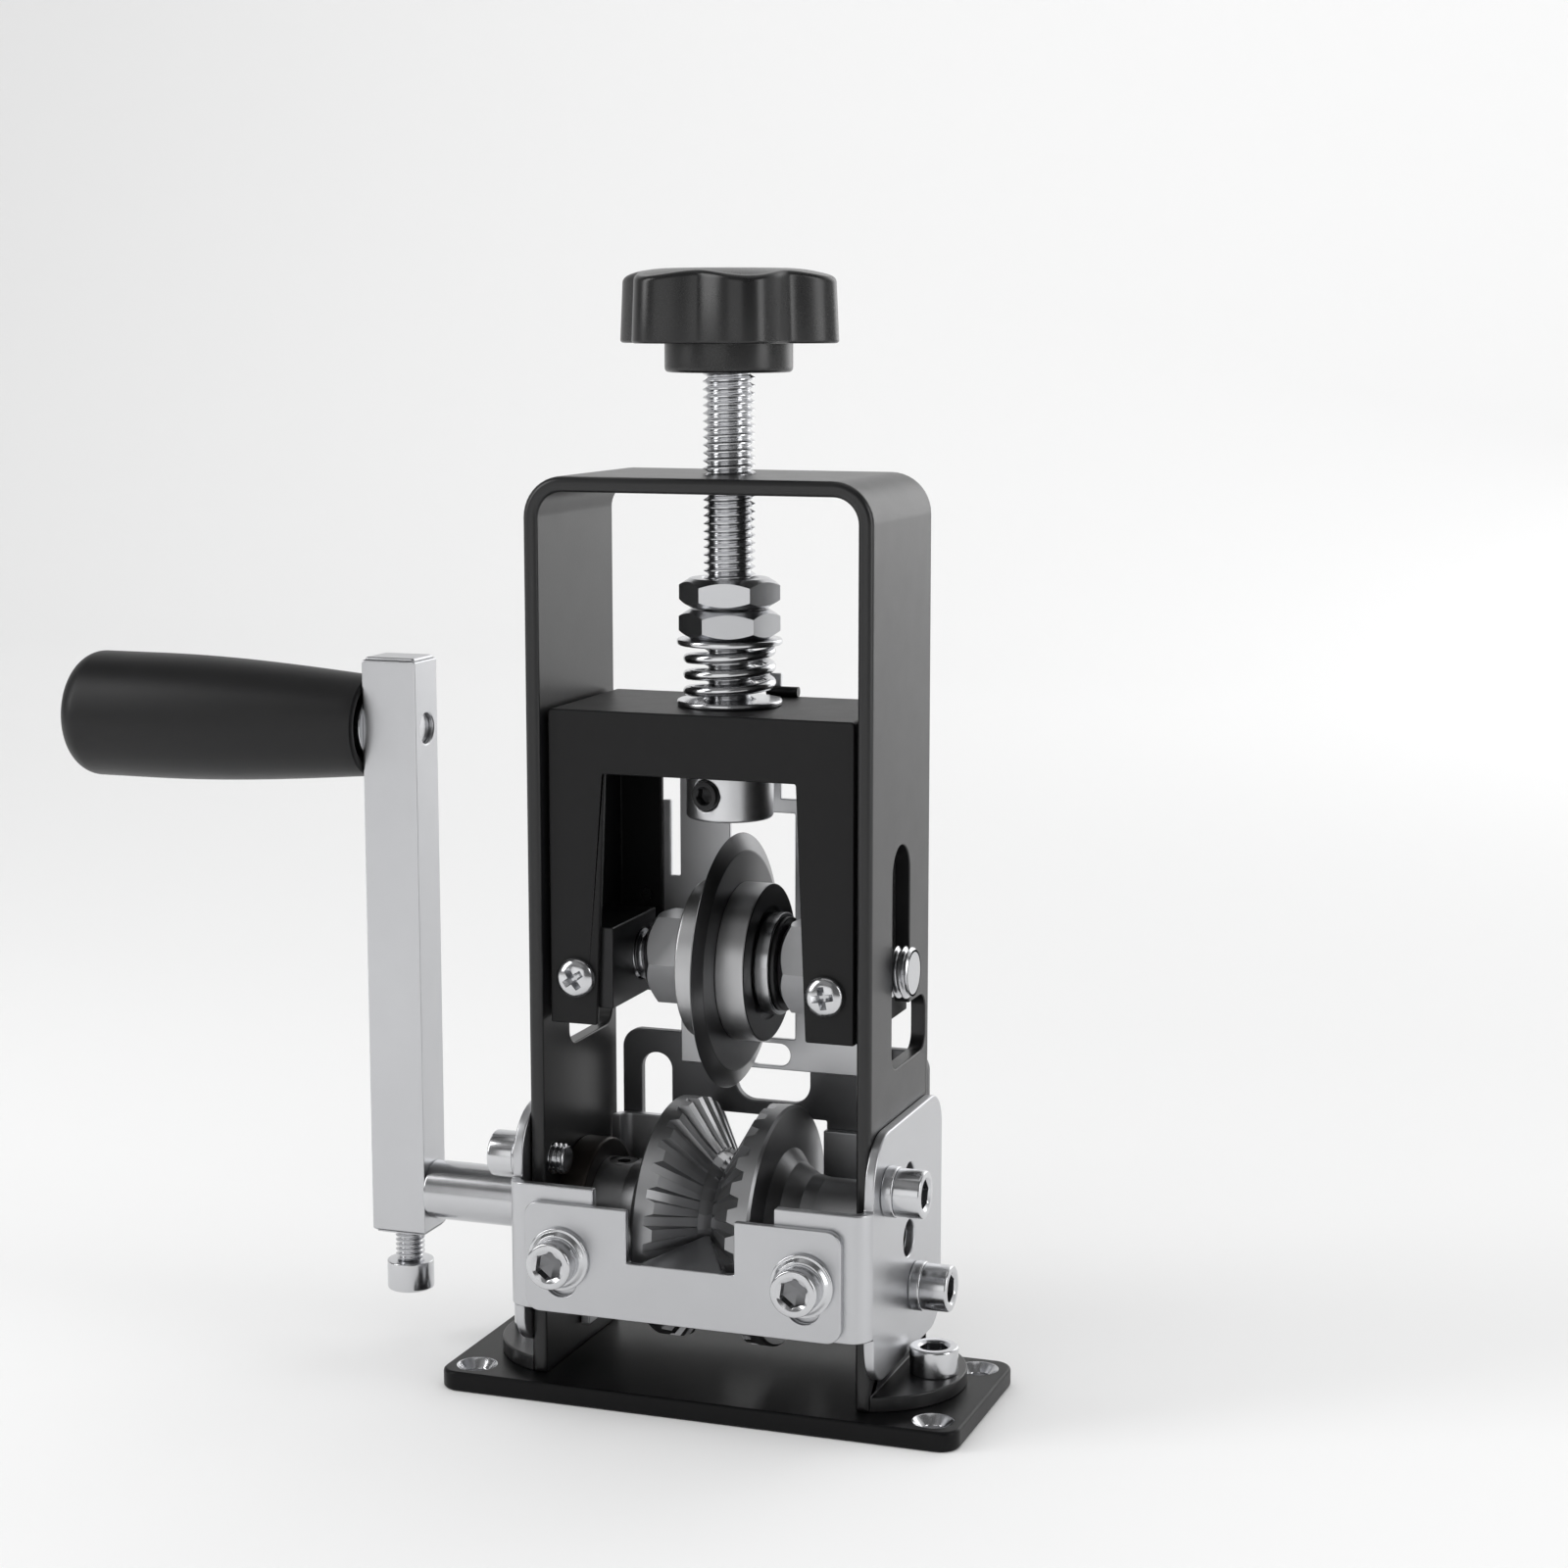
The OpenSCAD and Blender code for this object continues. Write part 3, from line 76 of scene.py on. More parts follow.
MM = 0.001
FULL_TURN = 2 * math.pi
SIDES = (("left", -1), ("right", 1))
RIGHT, LEFT = (1, 0, 0), (-1, 0, 0)
BACKWARD, FORWARD = (0, 1, 0), (0, -1, 0)
UP, DOWN = (0, 0, 1), (0, 0, -1)


class Reach(namedtuple("Reach", "left right front back bottom top")):
    """The sides of a box and what lies between them."""

    width = property(lambda box: box.right - box.left)
    depth = property(lambda box: box.back - box.front)
    height = property(lambda box: box.top - box.bottom)


def reach(node):
    """Where a CAD node lies, in millimetres to a hundredth."""
    low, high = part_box(node)
    return Reach(*(round(end / MM, 2) for ends in zip(low, high) for end in ends))


def middle(low, high):
    """The place half way between two others, to a hundredth."""
    return round((low + high) / 2, 2)


# Places that several pieces share, from the frame
drive_shaft = reach("drive_shaft")
handle_grip = reach("handle_grip")
cutting_blade = reach("cutting_blade")
left_flange = reach("left_blade_flange")
AXIS_Y = middle(drive_shaft.front, drive_shaft.back)
DRIVE_Z = middle(drive_shaft.bottom, drive_shaft.top)
GRIP_Z = middle(handle_grip.bottom, handle_grip.top)
BLADE_X = middle(cutting_blade.left, cutting_blade.right)
BLADE_Z = middle(left_flange.bottom, left_flange.top)

# Stock sizes and clearances
M6_R, M6_PITCH, M6_KEY, M6_NUT = 3.0, 1.0, 5.0, 10.0
M10_R, M10_PITCH, M10_NUT = 5.0, 1.5, 17.0
SHAFT_R = 6.0
BORE_GAP = 0.05
M6_BORE = M6_R + BORE_GAP
M10_BORE = M10_R + BORE_GAP
SHAFT_BORE = SHAFT_R + BORE_GAP
SEAT_GAP = 0.02
END_GAP = 0.1

# Finishes: a noise's values mostly lie in its span, and the grain has a share in the roughness
NOISE_SPAN = (0.3, 0.7)
PATCH_DETAIL, PATCH_ROUGHNESS = 4.0, 0.55
GRAIN_DETAIL, GRAIN_SHARE, GRAIN_STRENGTH = 3.0, 0.45, 0.35
SMOOTHEST = 0.02


def shader(tree, kind, **settings):
    """A shader node with some inputs set. An underscore in an input's name stands for a space."""
    made = tree.nodes.new("ShaderNode" + kind)
    for name, setting in settings.items():
        made.inputs[name.replace("_", " ")].default_value = setting
    return made


def finish(name, colour, rough, metallic=0.0, grain=2500.0, depth=0.02, stretch=(1, 1, 1), mottle=0.05,
           rough_swing=0.025, patch=90.0, specular=0.5):
    """A procedural finish: patchy colour and roughness, and a fine grain in the surface.

    Stretch pulls the grain into brushed lines. Depth is the grain's, in millimetres.
    """
    mat = bpy.data.materials.new(name)
    mat.use_nodes = True
    tree = mat.node_tree
    tree.nodes.clear()
    out = shader(tree, "OutputMaterial")
    skin = shader(tree, "BsdfPrincipled", Metallic=metallic, Specular_IOR_Level=specular)
    coord = shader(tree, "TexCoord")
    patchy = shader(tree, "TexNoise", Scale=patch, Detail=PATCH_DETAIL, Roughness=PATCH_ROUGHNESS)
    pulled = shader(tree, "Mapping", Scale=stretch)
    fine = shader(tree, "TexNoise", Scale=grain, Detail=GRAIN_DETAIL)
    bump = shader(tree, "Bump", Strength=GRAIN_STRENGTH, Distance=depth * MM)
    mixed = shader(tree, "Mix", Factor=GRAIN_SHARE)
    swing = shader(tree, "MapRange", From_Min=NOISE_SPAN[0], From_Max=NOISE_SPAN[1],
                   To_Min=max(SMOOTHEST, rough - rough_swing), To_Max=min(1, rough + rough_swing))
    ramp = shader(tree, "ValToRGB")
    for stop, position, change in zip(ramp.color_ramp.elements, NOISE_SPAN, (-mottle, mottle)):
        stop.position = position
        stop.color = [min(1, c * (1 + change)) for c in colour] + [1]
    for source, target in (
        (coord.outputs["Object"], patchy.inputs["Vector"]),
        (coord.outputs["Object"], pulled.inputs["Vector"]),
        (pulled.outputs["Vector"], fine.inputs["Vector"]),
        (patchy.outputs["Fac"], ramp.inputs["Fac"]),
        (ramp.outputs["Color"], skin.inputs["Base Color"]),
        (patchy.outputs["Fac"], mixed.inputs["A"]),
        (fine.outputs["Fac"], mixed.inputs["B"]),
        (mixed.outputs["Result"], swing.inputs["Value"]),
        (swing.outputs["Result"], skin.inputs["Roughness"]),
        (fine.outputs["Fac"], bump.inputs["Height"]),
        (bump.outputs["Normal"], skin.inputs["Normal"]),
        (skin.outputs["BSDF"], out.inputs["Surface"]),
    ):
        tree.links.new(source, target)
    return mat


def steel(name, colour, rough, mottle=0.02, **detail):
    """The finish of bare or plated metal."""
    return finish(name, colour, rough, metallic=1.0, mottle=mottle, **detail)


# Black paint and plastic
POWDER = finish("powder_black", (0.0070, 0.0070, 0.0075), 0.33, grain=3200, depth=0.03, patch=160)
BASE_BLACK = finish("base_gloss_black", (0.0042, 0.0042, 0.0046), 0.33, grain=3200, patch=160,
                    specular=0.15)
SHEET_BLACK = finish("sheet_black", (0.0080, 0.0080, 0.0084), 0.42, grain=3600, depth=0.03, mottle=0.04,
                     patch=200, specular=0.2)
GRIP = finish("grip_plastic", (0.0075, 0.0075, 0.0080), 0.42, grain=5200, depth=0.04, patch=120,
              specular=0.3)
KNOB = finish("knob_plastic", (0.0070, 0.0070, 0.0074), 0.28, grain=4200, patch=140)

# Dark metal, and a sheet darkened as painted shade
BLACK_OXIDE = finish("black_oxide", (0.020, 0.020, 0.021), 0.30, metallic=0.6, grain=4200, depth=0.015,
                     patch=300)
# Painted shade: the rear guide plate is coloured dark for the shade it sits in at the back of the frame
PLATE_PAINTED_SHADE = finish("sheet_painted_shade", (0.12, 0.121, 0.125), 0.38, metallic=0.85, grain=1500, depth=0.015,
                    stretch=(0.3, 0.3, 4), patch=120)
BRONZE = finish("bearing_dark", (0.040, 0.034, 0.030), 0.3, metallic=0.8, grain=2600, depth=0.012,
                mottle=0.08, patch=200)
FLANGE_FACE = finish("flange_face", (0.045, 0.045, 0.047), 0.36, metallic=0.8, grain=3000, depth=0.01,
                     patch=200)

# Sheet, bar and shaft, with brushed or turned lines
BRACKET = steel("satin_bracket", (0.56, 0.565, 0.58), 0.33, grain=900, depth=0.008, stretch=(0.25, 0.25, 6),
                patch=70)
PLATE = steel("satin_plate", (0.54, 0.545, 0.56), 0.32, grain=900, depth=0.008, stretch=(0.25, 0.25, 6),
              patch=80)
TAIL = steel("satin_tail", (0.66, 0.665, 0.68), 0.42, mottle=0.03, grain=1200, depth=0.01,
             stretch=(5, 0.3, 0.3), patch=110)
ALUMINIUM = steel("bar_aluminium", (0.56, 0.565, 0.58), 0.31, grain=900, depth=0.008, stretch=(7, 7, 0.2),
                  patch=60)
SHAFT = steel("shaft_steel", (0.58, 0.585, 0.60), 0.21, grain=2200, depth=0.004, stretch=(6, 0.4, 0.4),
              patch=200)

# Turned and plated pieces
CHROME = steel("bright_screw", (0.62, 0.625, 0.64), 0.20, grain=3800, depth=0.004, patch=400)
COLLAR = steel("satin_collar", (0.70, 0.705, 0.72), 0.38, grain=2600, depth=0.006, patch=300)
SHAFT_NUT = steel("shaft_nut_steel", (0.66, 0.665, 0.68), 0.33, grain=2600, depth=0.008, patch=350)
# Painted shade: the inside of a socket is coloured darker than the chrome round it
SOCKET_PAINTED_SHADE = steel("socket_painted_shade", (0.22, 0.222, 0.23), 0.32, mottle=0.05, grain=2600, depth=0.008, patch=500)
NUT = steel("nut_steel", (0.55, 0.555, 0.57), 0.25, grain=2600, depth=0.008, patch=350)
ROLLER = steel("roller_steel", (0.35, 0.352, 0.36), 0.37, mottle=0.04, grain=2600, depth=0.01, patch=150)
SPRING = steel("spring_wire", (0.62, 0.625, 0.64), 0.17, grain=3600, depth=0.004, patch=400)
BLADE = steel("blade_steel", (0.105, 0.106, 0.109), 0.36, grain=1500, depth=0.002, rough_swing=0.012,
              patch=160)
BLADE_EDGE = steel("blade_ground_edge", (0.17, 0.171, 0.176), 0.31, grain=1500, depth=0.001,
                   rough_swing=0.012, patch=300)
FLANGE = steel("flange_steel", (0.50, 0.502, 0.51), 0.36, grain=2800, depth=0.004, stretch=(0.4, 4, 4),
               patch=240)

# Mesh tools: the distances are in metres, the angles in degrees
MERGE, SHORTEST_EDGE, NODE_MERGE = 2e-6, 1e-6, 3e-6
FLAT_ANGLE = 0.7
SHARP, NODE_SHARP = 34, 50
NORMAL_WEIGHT = 80


def mark_sharp(mesh, angle):
    """Smooth faces with hard edges where two faces meet at more than the angle."""
    bm = bmesh.new()
    bm.from_mesh(mesh)
    limit = math.radians(angle)
    for face in bm.faces:
        face.smooth = True
    for edge in bm.edges:
        edge.smooth = len(edge.link_faces) == 2 and edge.calc_face_angle(0) < limit
    bm.to_mesh(mesh)
    bm.free()


def settle(obj):
    """Applies an object's modifiers, so that what rides is a plain mesh."""
    graph = bpy.context.evaluated_depsgraph_get()
    made = bpy.data.meshes.new_from_object(obj.evaluated_get(graph))
    obj.modifiers.clear()
    obj.data = made


def even(obj):
    """Gives flat faces their own normal right up to the rolled edges beside them."""
    flat = obj.modifiers.new("even", "WEIGHTED_NORMAL")
    flat.keep_sharp = True
    flat.weight = NORMAL_WEIGHT
    settle(obj)


def show(name, mesh, finishes):
    """A new object in the scene with its finish, or a list of them."""
    obj = bpy.data.objects.new(name, mesh)
    bpy.context.scene.collection.objects.link(obj)
    for mat in finishes if isinstance(finishes, list) else [finishes]:
        mesh.materials.append(mat)
    return obj


def paint(obj, test):
    """Gives the faces whose centre and normal pass the test the piece's second finish."""
    for face in obj.data.polygons:
        if test(face.center / MM, face.normal):
            face.material_index = 1


def own(obj, body, node):
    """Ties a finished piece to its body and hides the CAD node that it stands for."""
    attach(obj, body)
    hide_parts(node)


def piece(name, shape, finishes, body, node, place=None, sharp=SHARP, inner=None, evened=True):
    """A mesh piece from points in millimetres, riding on a body and standing for its CAD node.

    Inner is a test for the centres of the faces that get the second finish, before the piece is placed.
    """
    mesh = bpy.data.meshes.new(name)
    move = Matrix.Identity(4) if place is None else place
    verts, faces = shape
    mesh.from_pydata([(move @ Vector(v)) * MM for v in verts], [], faces)
    bm = bmesh.new()
    bm.from_mesh(mesh)
    bmesh.ops.remove_doubles(bm, verts=bm.verts, dist=MERGE)
    bmesh.ops.dissolve_degenerate(bm, edges=bm.edges, dist=SHORTEST_EDGE)
    bmesh.ops.recalc_face_normals(bm, faces=bm.faces)
    bm.to_mesh(mesh)
    bm.free()
    obj = show(name, mesh, finishes)
    if inner:
        back = move.inverted()
        paint(obj, lambda centre, normal: inner(back @ centre))
    mark_sharp(mesh, sharp)
    if evened:
        even(obj)
    own(obj, body, node)
    return obj


def rounded(node, finishes, radius, share=None, segments=3, angle=32):
    """A copy of a CAD node with every edge sharper than the angle rolled to a real radius.

    Share takes an edge's two points and says what part of the radius that edge gets.
    """
    source = NODES[node]
    name = node + "_rolled"
    mesh = source.data.copy()
    mesh.name = name
    bm = bmesh.new()
    bm.from_mesh(mesh)
    bmesh.ops.remove_doubles(bm, verts=bm.verts, dist=NODE_MERGE)
    bmesh.ops.dissolve_limit(bm, angle_limit=math.radians(FLAT_ANGLE), verts=bm.verts, edges=bm.edges)
    layer = bm.edges.layers.float.new("bevel_weight_edge")
    limit = math.radians(angle)
    for edge in bm.edges:
        if len(edge.link_faces) == 2 and edge.calc_face_angle(0) > limit:
            edge[layer] = share(*(v.co / MM for v in edge.verts)) if share else 1.0
        else:
            edge[layer] = 0.0
    bm.to_mesh(mesh)
    bm.free()
    mesh.materials.clear()
    obj = show(name, mesh, finishes)
    roll = obj.modifiers.new("roll", "BEVEL")
    roll.width = radius * MM
    roll.segments = segments
    roll.limit_method = "WEIGHT"
    roll.use_clamp_overlap = False
    roll.miter_outer = "MITER_ARC"
    settle(obj)
    if obj.data.has_custom_normals:
        with bpy.context.temp_override(object=obj, active_object=obj, selected_objects=[obj]):
            bpy.ops.mesh.customdata_custom_splitnormals_clear()
    mark_sharp(obj.data, NODE_SHARP)
    even(obj)
    own(obj, source["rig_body"], node)
    return obj


def coat(node, mat):
    """A CAD node whose shape is right gets its finish."""
    slots = NODES[node].data.materials
    if not slots:
        slots.append(mat)
    for i in range(len(slots)):
        slots[i] = mat


# Moves that put a shape in its place
def aim(origin, direction, turn=0.0):
    """The move that puts a shape built along Z at origin, pointing in direction, turned by some degrees."""
    turned = Vector(direction).normalized().to_track_quat("Z", "Y").to_matrix().to_4x4()
    return Matrix.Translation(Vector(origin)) @ turned @ Matrix.Rotation(math.radians(turn), 4, "Z")


def on_drive_axis(x, direction=RIGHT):
    """The move that puts a shape on the drive shaft's axis."""
    return aim((x, AXIS_Y, DRIVE_Z), direction)


def on_blade_axis(x):
    """The move that puts a shape on the blade's axis, pointing right."""
    return aim((x, AXIS_Y, BLADE_Z), RIGHT)


def on_screw_axis(z):
    """The move that puts a shape on the pressure screw's axis, pointing up."""
    return aim((0, AXIS_Y, z), UP)


# Shapes: each is a list of points and a list of faces, built round Z
def at_angle(size, a):
    """A radius or height of a ring at an angle, where it may be a number or a function."""
    return size(a) if callable(size) else size


def lathe(profile, segs=96):
    """Rings of points round Z from (radius, height) pairs. Zero radius closes an end."""
    verts, faces, rings = [], [], []
    for radius, height in profile:
        if not callable(radius) and radius <= 0:
            rings.append([len(verts)])
            verts.append((0, 0, at_angle(height, 0)))
            continue
        rings.append(list(range(len(verts), len(verts) + segs)))
        for i in range(segs):
            a = FULL_TURN * i / segs
            r = at_angle(radius, a)
            verts.append((r * math.cos(a), r * math.sin(a), at_angle(height, a)))
    for low, high in zip(rings, rings[1:]):
        for i in range(segs):
            j = (i + 1) % segs
            if len(low) == 1 and len(high) == 1:
                continue
            if len(low) == 1:
                faces.append((low[0], high[i], high[j]))
            elif len(high) == 1:
                faces.append((low[i], low[j], high[0]))
            else:
                faces.append((low[i], low[j], high[j], high[i]))
    return verts, faces


def soften(points, radii, steps=4):
    """An outline of (radius, height) corners with each corner rounded to its own radius."""
    most = 0.49  # of a side that a corner may take up
    out = []
    for i, point in enumerate(points):
        if i == 0 or i == len(points) - 1 or radii[i] <= 0:
            out.append(tuple(point))
            continue
        before, corner, after = Vector(points[i - 1]), Vector(point), Vector(points[i + 1])
        u, v = before - corner, after - corner
        back = min(radii[i] / math.tan(u.angle(v) / 2), u.length * most, v.length * most)
        start, end = corner + u.normalized() * back, corner + v.normalized() * back
        for k in range(steps + 1):
            t = k / steps
            out.append(tuple((1 - t) ** 2 * start + 2 * t * (1 - t) * corner + t * t * end))
    return out


def hexagon(across):
    """Radius of a hexagon at an angle; its corners lie on every sixth part of a turn."""
    step = FULL_TURN / 6
    return lambda a: across / 2 / math.cos(a % step - step / 2)


def join(*shapes):
    """One shape out of several."""
    verts, faces = [], []
    for more_verts, more_faces in shapes:
        start = len(verts)
        verts += more_verts
        faces += [tuple(i + start for i in face) for face in more_faces]
    return verts, faces


def thread_profile(r, pitch):
    """(share of a pitch, radius) along one turn of a thread: crest, flank, root and flank."""
    root = r - 0.6 * pitch
    flank = (r + root) / 2
    foot = root + 0.05 * pitch
    return [(0.0, r), (0.14, r), (0.30, flank), (0.46, foot), (0.54, root), (0.62, root), (0.70, foot),
            (0.86, flank)]


def threaded(r, pitch, low, high, chamfer, segs=48):
    """A rod with a helical thread from low to high and a chamfer at both ends."""
    profile = thread_profile(r, pitch)
    spare_turns, lead_in = 3, 1.5
    steps = (int((high - low) / pitch) + spare_turns) * segs
    row = len(profile)
    verts, faces = [], []
    for k in range(steps + 1):
        a = FULL_TURN * k / segs
        for share, q in profile:
            z = low - lead_in * pitch + pitch * (k / segs + share)
            inside = min(z - low, high - z)
            q = min(q, max(r - chamfer, r - chamfer + inside))
            verts.append((q * math.cos(a), q * math.sin(a), min(max(z, low), high)))
    for k in range(steps):
        for j in range(row):
            here, ahead = k * row + j, (k + 1) * row + j
            if j + 1 < row:
                faces.append((here, ahead, ahead + 1, here + 1))
            elif k + segs + 1 <= steps:
                faces.append((here, ahead, (k + 1 + segs) * row, (k + segs) * row))
    for z in (low, high):
        centre = len(verts)
        verts.append((0, 0, z))
        for i in range(segs):
            a = FULL_TURN * i / segs
            verts.append(((r - chamfer) * math.cos(a), (r - chamfer) * math.sin(a), z))
        faces += [(centre, centre + 1 + i, centre + 1 + (i + 1) % segs) for i in range(segs)]
    return verts, faces


Head = namedtuple("Head", "radius height key_depth edge")


def cap_head(head):
    """Socket head on z = 0: rolled top edge, hexagon socket with a lead-in and a drill point."""
    r, h = head.radius, head.height
    rim, foot_edge = 1.3, 0.25
    lead, lead_foot, dip, drill = 0.42, 0.16, 0.12, 0.9
    socket = hexagon(M6_KEY)
    corner = M6_KEY / 2 / math.cos(FULL_TURN / 12)
    floor = h - head.key_depth
    outer = soften([(0, 0), (r, 0), (r, h), (r - rim, h)], [0, foot_edge, head.edge, 0])
    inner = [(corner + lead, h), (corner + lead_foot, h - dip), (socket, h - lead), (socket, floor),
             (0, floor - drill)]
    return lathe(outer + inner)


def in_socket(head):
    """Test for the faces down in a head's socket, which get the darker finish as painted shade."""
    floor, lip, slack = 0.5, 0.3, 1.09
    return lambda c: floor < c.z < head.height - lip and math.hypot(c.x, c.y) < M6_KEY / 2 * slack


def socket_screw(name, body, node, head, length, place, neck=0.0):
    """An M6 socket screw: its head stands on the place and its thread, after a plain neck, runs back."""
    chamfer, lap = 0.5, 0.1
    parts = [cap_head(head), threaded(M6_R, M6_PITCH, -length, lap - neck if neck else -SEAT_GAP, chamfer)]
    if neck:
        parts.append(lathe([(0, -neck), (M6_R, -neck), (M6_R, 0.0)]))
    # The socket's faces get the second, darker finish: painted shade in the recess
    piece(name, join(*parts), [CHROME, SOCKET_PAINTED_SHADE], body, node, place, inner=in_socket(head),
          evened=False)


def nut_shape(across, h, bore, share=0.9, slope=34):
    """Hexagon nut on z = 0 with turned corners and a countersunk bore.

    Share is what the flat face has of the width across, and slope is the turned corners', in degrees.
    """
    sink, rim, dip, segs = 0.7, 0.2, 0.06, 120
    side = hexagon(across)
    face = across / 2 * share
    lift = math.tan(math.radians(slope))

    def cut(a):
        """How far a corner is cut back at an angle."""
        return (side(a) - face) * lift

    low = [(bore, sink), (bore + sink, 0), (face - rim, 0), (face, dip), (side, cut)]
    high = [(side, lambda a: h - cut(a)), (face, h - dip), (face - rim, h), (bore + sink, h),
            (bore, h - sink)]
    return lathe(low + high + low[:1], segs)


def ring_shape(thick, r, bore, edge):
    """Flat ring on z = 0 with softened edges."""
    inner_edge = edge * 0.6
    half = thick / 2
    outline = [(bore, half), (bore, 0), (r, 0), (r, thick), (bore, thick), (bore, half)]
    return lathe(soften(outline, [0, inner_edge, edge, edge, inner_edge, 0], 3))


# Main frame and base
main_frame = reach("main_frame")
foot_screws = reach("foot_screws")
FOOT_HEAD = Head(radius=4.8, height=5.4, key_depth=2.8, edge=0.55)
FOOT_X = foot_screws.right - FOOT_HEAD.radius
FOOT_Z = foot_screws.top - FOOT_HEAD.height
FOOT_HOLE_R = 3.3
BENCH_HOLE_X, BENCH_HOLE_Y = 47.5, 15.5
BENCH_HOLE_R, SINK_R = 4.6, 4.15
FRAME_HOLE_SHARE, BASE_HOLE_SHARE = 0.25, 0.3
SAME_PLACE = 0.02
LEVEL = 0.97  # a normal this upright belongs to a flat face


def strip_share(a, b):
    """The strip's own long edges are rolled more than the edges of its holes."""
    sides = (main_frame.front, main_frame.back)
    long_edge = any(all(abs(p.y - side) < SAME_PLACE for p in (a, b)) for side in sides)
    return 1.0 if long_edge else FRAME_HOLE_SHARE


def from_bench_hole(p):
    """How far a point is from the axis of the nearest bench hole."""
    return math.hypot(abs(p.x) - BENCH_HOLE_X, abs(p.y) - BENCH_HOLE_Y)


def base_share(a, b):
    """The plate's outer edges are rolled more than the edges of its holes."""
    bench_hole = min(from_bench_hole(a), from_bench_hole(b)) < BENCH_HOLE_R
    foot_hole = math.hypot(abs(a.x) - FOOT_X, a.y - AXIS_Y) < FOOT_HOLE_R
    return BASE_HOLE_SHARE if bench_hole or foot_hole else 1.0


rounded("main_frame", POWDER, radius=1.25, share=strip_share, segments=5)
base = rounded("base_plate", [BASE_BLACK, CHROME], radius=0.7, share=base_share)
paint(base, lambda centre, normal: from_bench_hole(centre) < SINK_R and abs(normal.z) < LEVEL)

for hand, side in SIDES:
    socket_screw("foot_screw_" + hand, "frame", "foot_screws", FOOT_HEAD, FOOT_Z - foot_screws.bottom,
                 aim((side * FOOT_X, AXIS_Y, FOOT_Z), UP, turn=14))

# Bracket and guide plates
rounded("guide_bracket", BRACKET, radius=0.38)
rounded("front_guide_plate", PLATE, radius=0.28)
# The rear guide plate's dark colour is painted shade
rounded("rear_guide_plate", PLATE_PAINTED_SHADE, radius=0.3)
rounded("rear_cross_plate", TAIL, radius=0.28, segments=2)
coat("cross_plate_rivets", NUT)

# Screws of the bracket's ears: the end of the long one shows inside the left wall
bracket = reach("guide_bracket")
ear_screws = reach("bracket_screws")
spacers = reach("bracket_spacers")
EAR_HEAD = Head(radius=4.6, height=5.4, key_depth=2.9, edge=0.55)
EAR_NECK, EAR_LENGTH, LONG_EAR_LENGTH = 2.4, 6.7, 10.2
SPACER_R = 4.9
EAR_PLACES = (
    ("upper", ear_screws.front + EAR_HEAD.radius, ear_screws.top - EAR_HEAD.radius, 10),
    ("lower", ear_screws.back - EAR_HEAD.radius, ear_screws.bottom + EAR_HEAD.radius, 25),
)


def make_ear_screws(hand, side):
    """The two screws and spacers of one ear."""
    for height, y, z, turn in EAR_PLACES:
        which = height + "_" + hand
        length = LONG_EAR_LENGTH if which == "upper_left" else EAR_LENGTH
        head_place = aim((side * (ear_screws.right - EAR_HEAD.height), y, z), (side, 0, 0), turn)
        socket_screw("bracket_screw_" + which, "frame", "bracket_screws", EAR_HEAD, length, head_place,
                     EAR_NECK)
        ring = ring_shape(spacers.right - bracket.right, SPACER_R, M6_BORE, edge=0.4)
        piece("bracket_spacer_" + which, ring, NUT, "frame", "bracket_spacers",
              aim((side * bracket.right, y, z), (side, 0, 0)))


# Screws of the front guide plate
guide_screws = reach("guide_plate_screws")
guide_washers = reach("guide_plate_washers")
guide_nuts = reach("guide_plate_nuts")
GUIDE_HEAD = Head(radius=4.6, height=4.0, key_depth=2.4, edge=0.7)


def stepped_washer(h):
    """Flanged washer on z = 0 that steps in to the screw's head."""
    flange_r, flange_h = 6.2, 1.0
    step_r, top_r, step_rise = 5.6, 5.0, 0.05
    start = 0.9
    outline = [(M6_BORE, start), (M6_BORE, 0), (flange_r, 0), (flange_r, flange_h),
               (step_r, flange_h + step_rise), (top_r, h), (M6_BORE, h), (M6_BORE, start)]
    return lathe(soften(outline, [0, 0.1, 0.3, 0.3, 0.2, 0.3, 0.1, 0], 3))


def make_front_guide_screw(hand, side):
    """A screw of the front guide plate, its stepped washer and the nut behind."""
    x = side * (guide_screws.right - GUIDE_HEAD.radius)
    z = middle(guide_screws.bottom, guide_screws.top)
    length = guide_screws.back - guide_washers.front - END_GAP
    nut_turn = 0 if side < 0 else 12
    socket_screw("guide_screw_" + hand, "frame", "guide_plate_screws", GUIDE_HEAD, length,
                 aim((x, guide_washers.front, z), FORWARD, turn=22))
    piece("guide_washer_" + hand, stepped_washer(guide_washers.depth), CHROME, "frame",
          "guide_plate_washers", aim((x, guide_washers.back, z), FORWARD))
    piece("guide_nut_" + hand, nut_shape(M6_NUT, guide_nuts.depth, M6_BORE), NUT, "frame",
          "guide_plate_nuts", aim((x, guide_nuts.front, z), BACKWARD, nut_turn))


# Screws of the rear guide plate
rear_screws = reach("rear_guide_screws")
rear_washers = reach("rear_guide_washers")
TALL_HEAD = Head(radius=4.8, height=6.0, key_depth=3.0, edge=0.55)
REAR_WASHER_R = 6.5


def make_rear_guide_screw(hand, side):
    """A screw of the rear guide plate and its washer."""
    centre = middle(rear_screws.left, rear_screws.right)
    x = centre + side * (rear_screws.right - TALL_HEAD.radius - centre)
    z = middle(rear_screws.bottom, rear_screws.top)
    socket_screw("rear_screw_" + hand, "frame", "rear_guide_screws", TALL_HEAD,
                 rear_washers.back - rear_screws.front, aim((x, rear_washers.back, z), BACKWARD, turn=8))
    ring = ring_shape(rear_washers.depth, REAR_WASHER_R, M6_BORE, edge=0.3)
    piece("rear_washer_" + hand, ring, NUT, "frame", "rear_guide_washers",
          aim((x, rear_washers.front, z), BACKWARD))


for hand, side in SIDES:
    make_ear_screws(hand, side)
    make_front_guide_screw(hand, side)
    make_rear_guide_screw(hand, side)


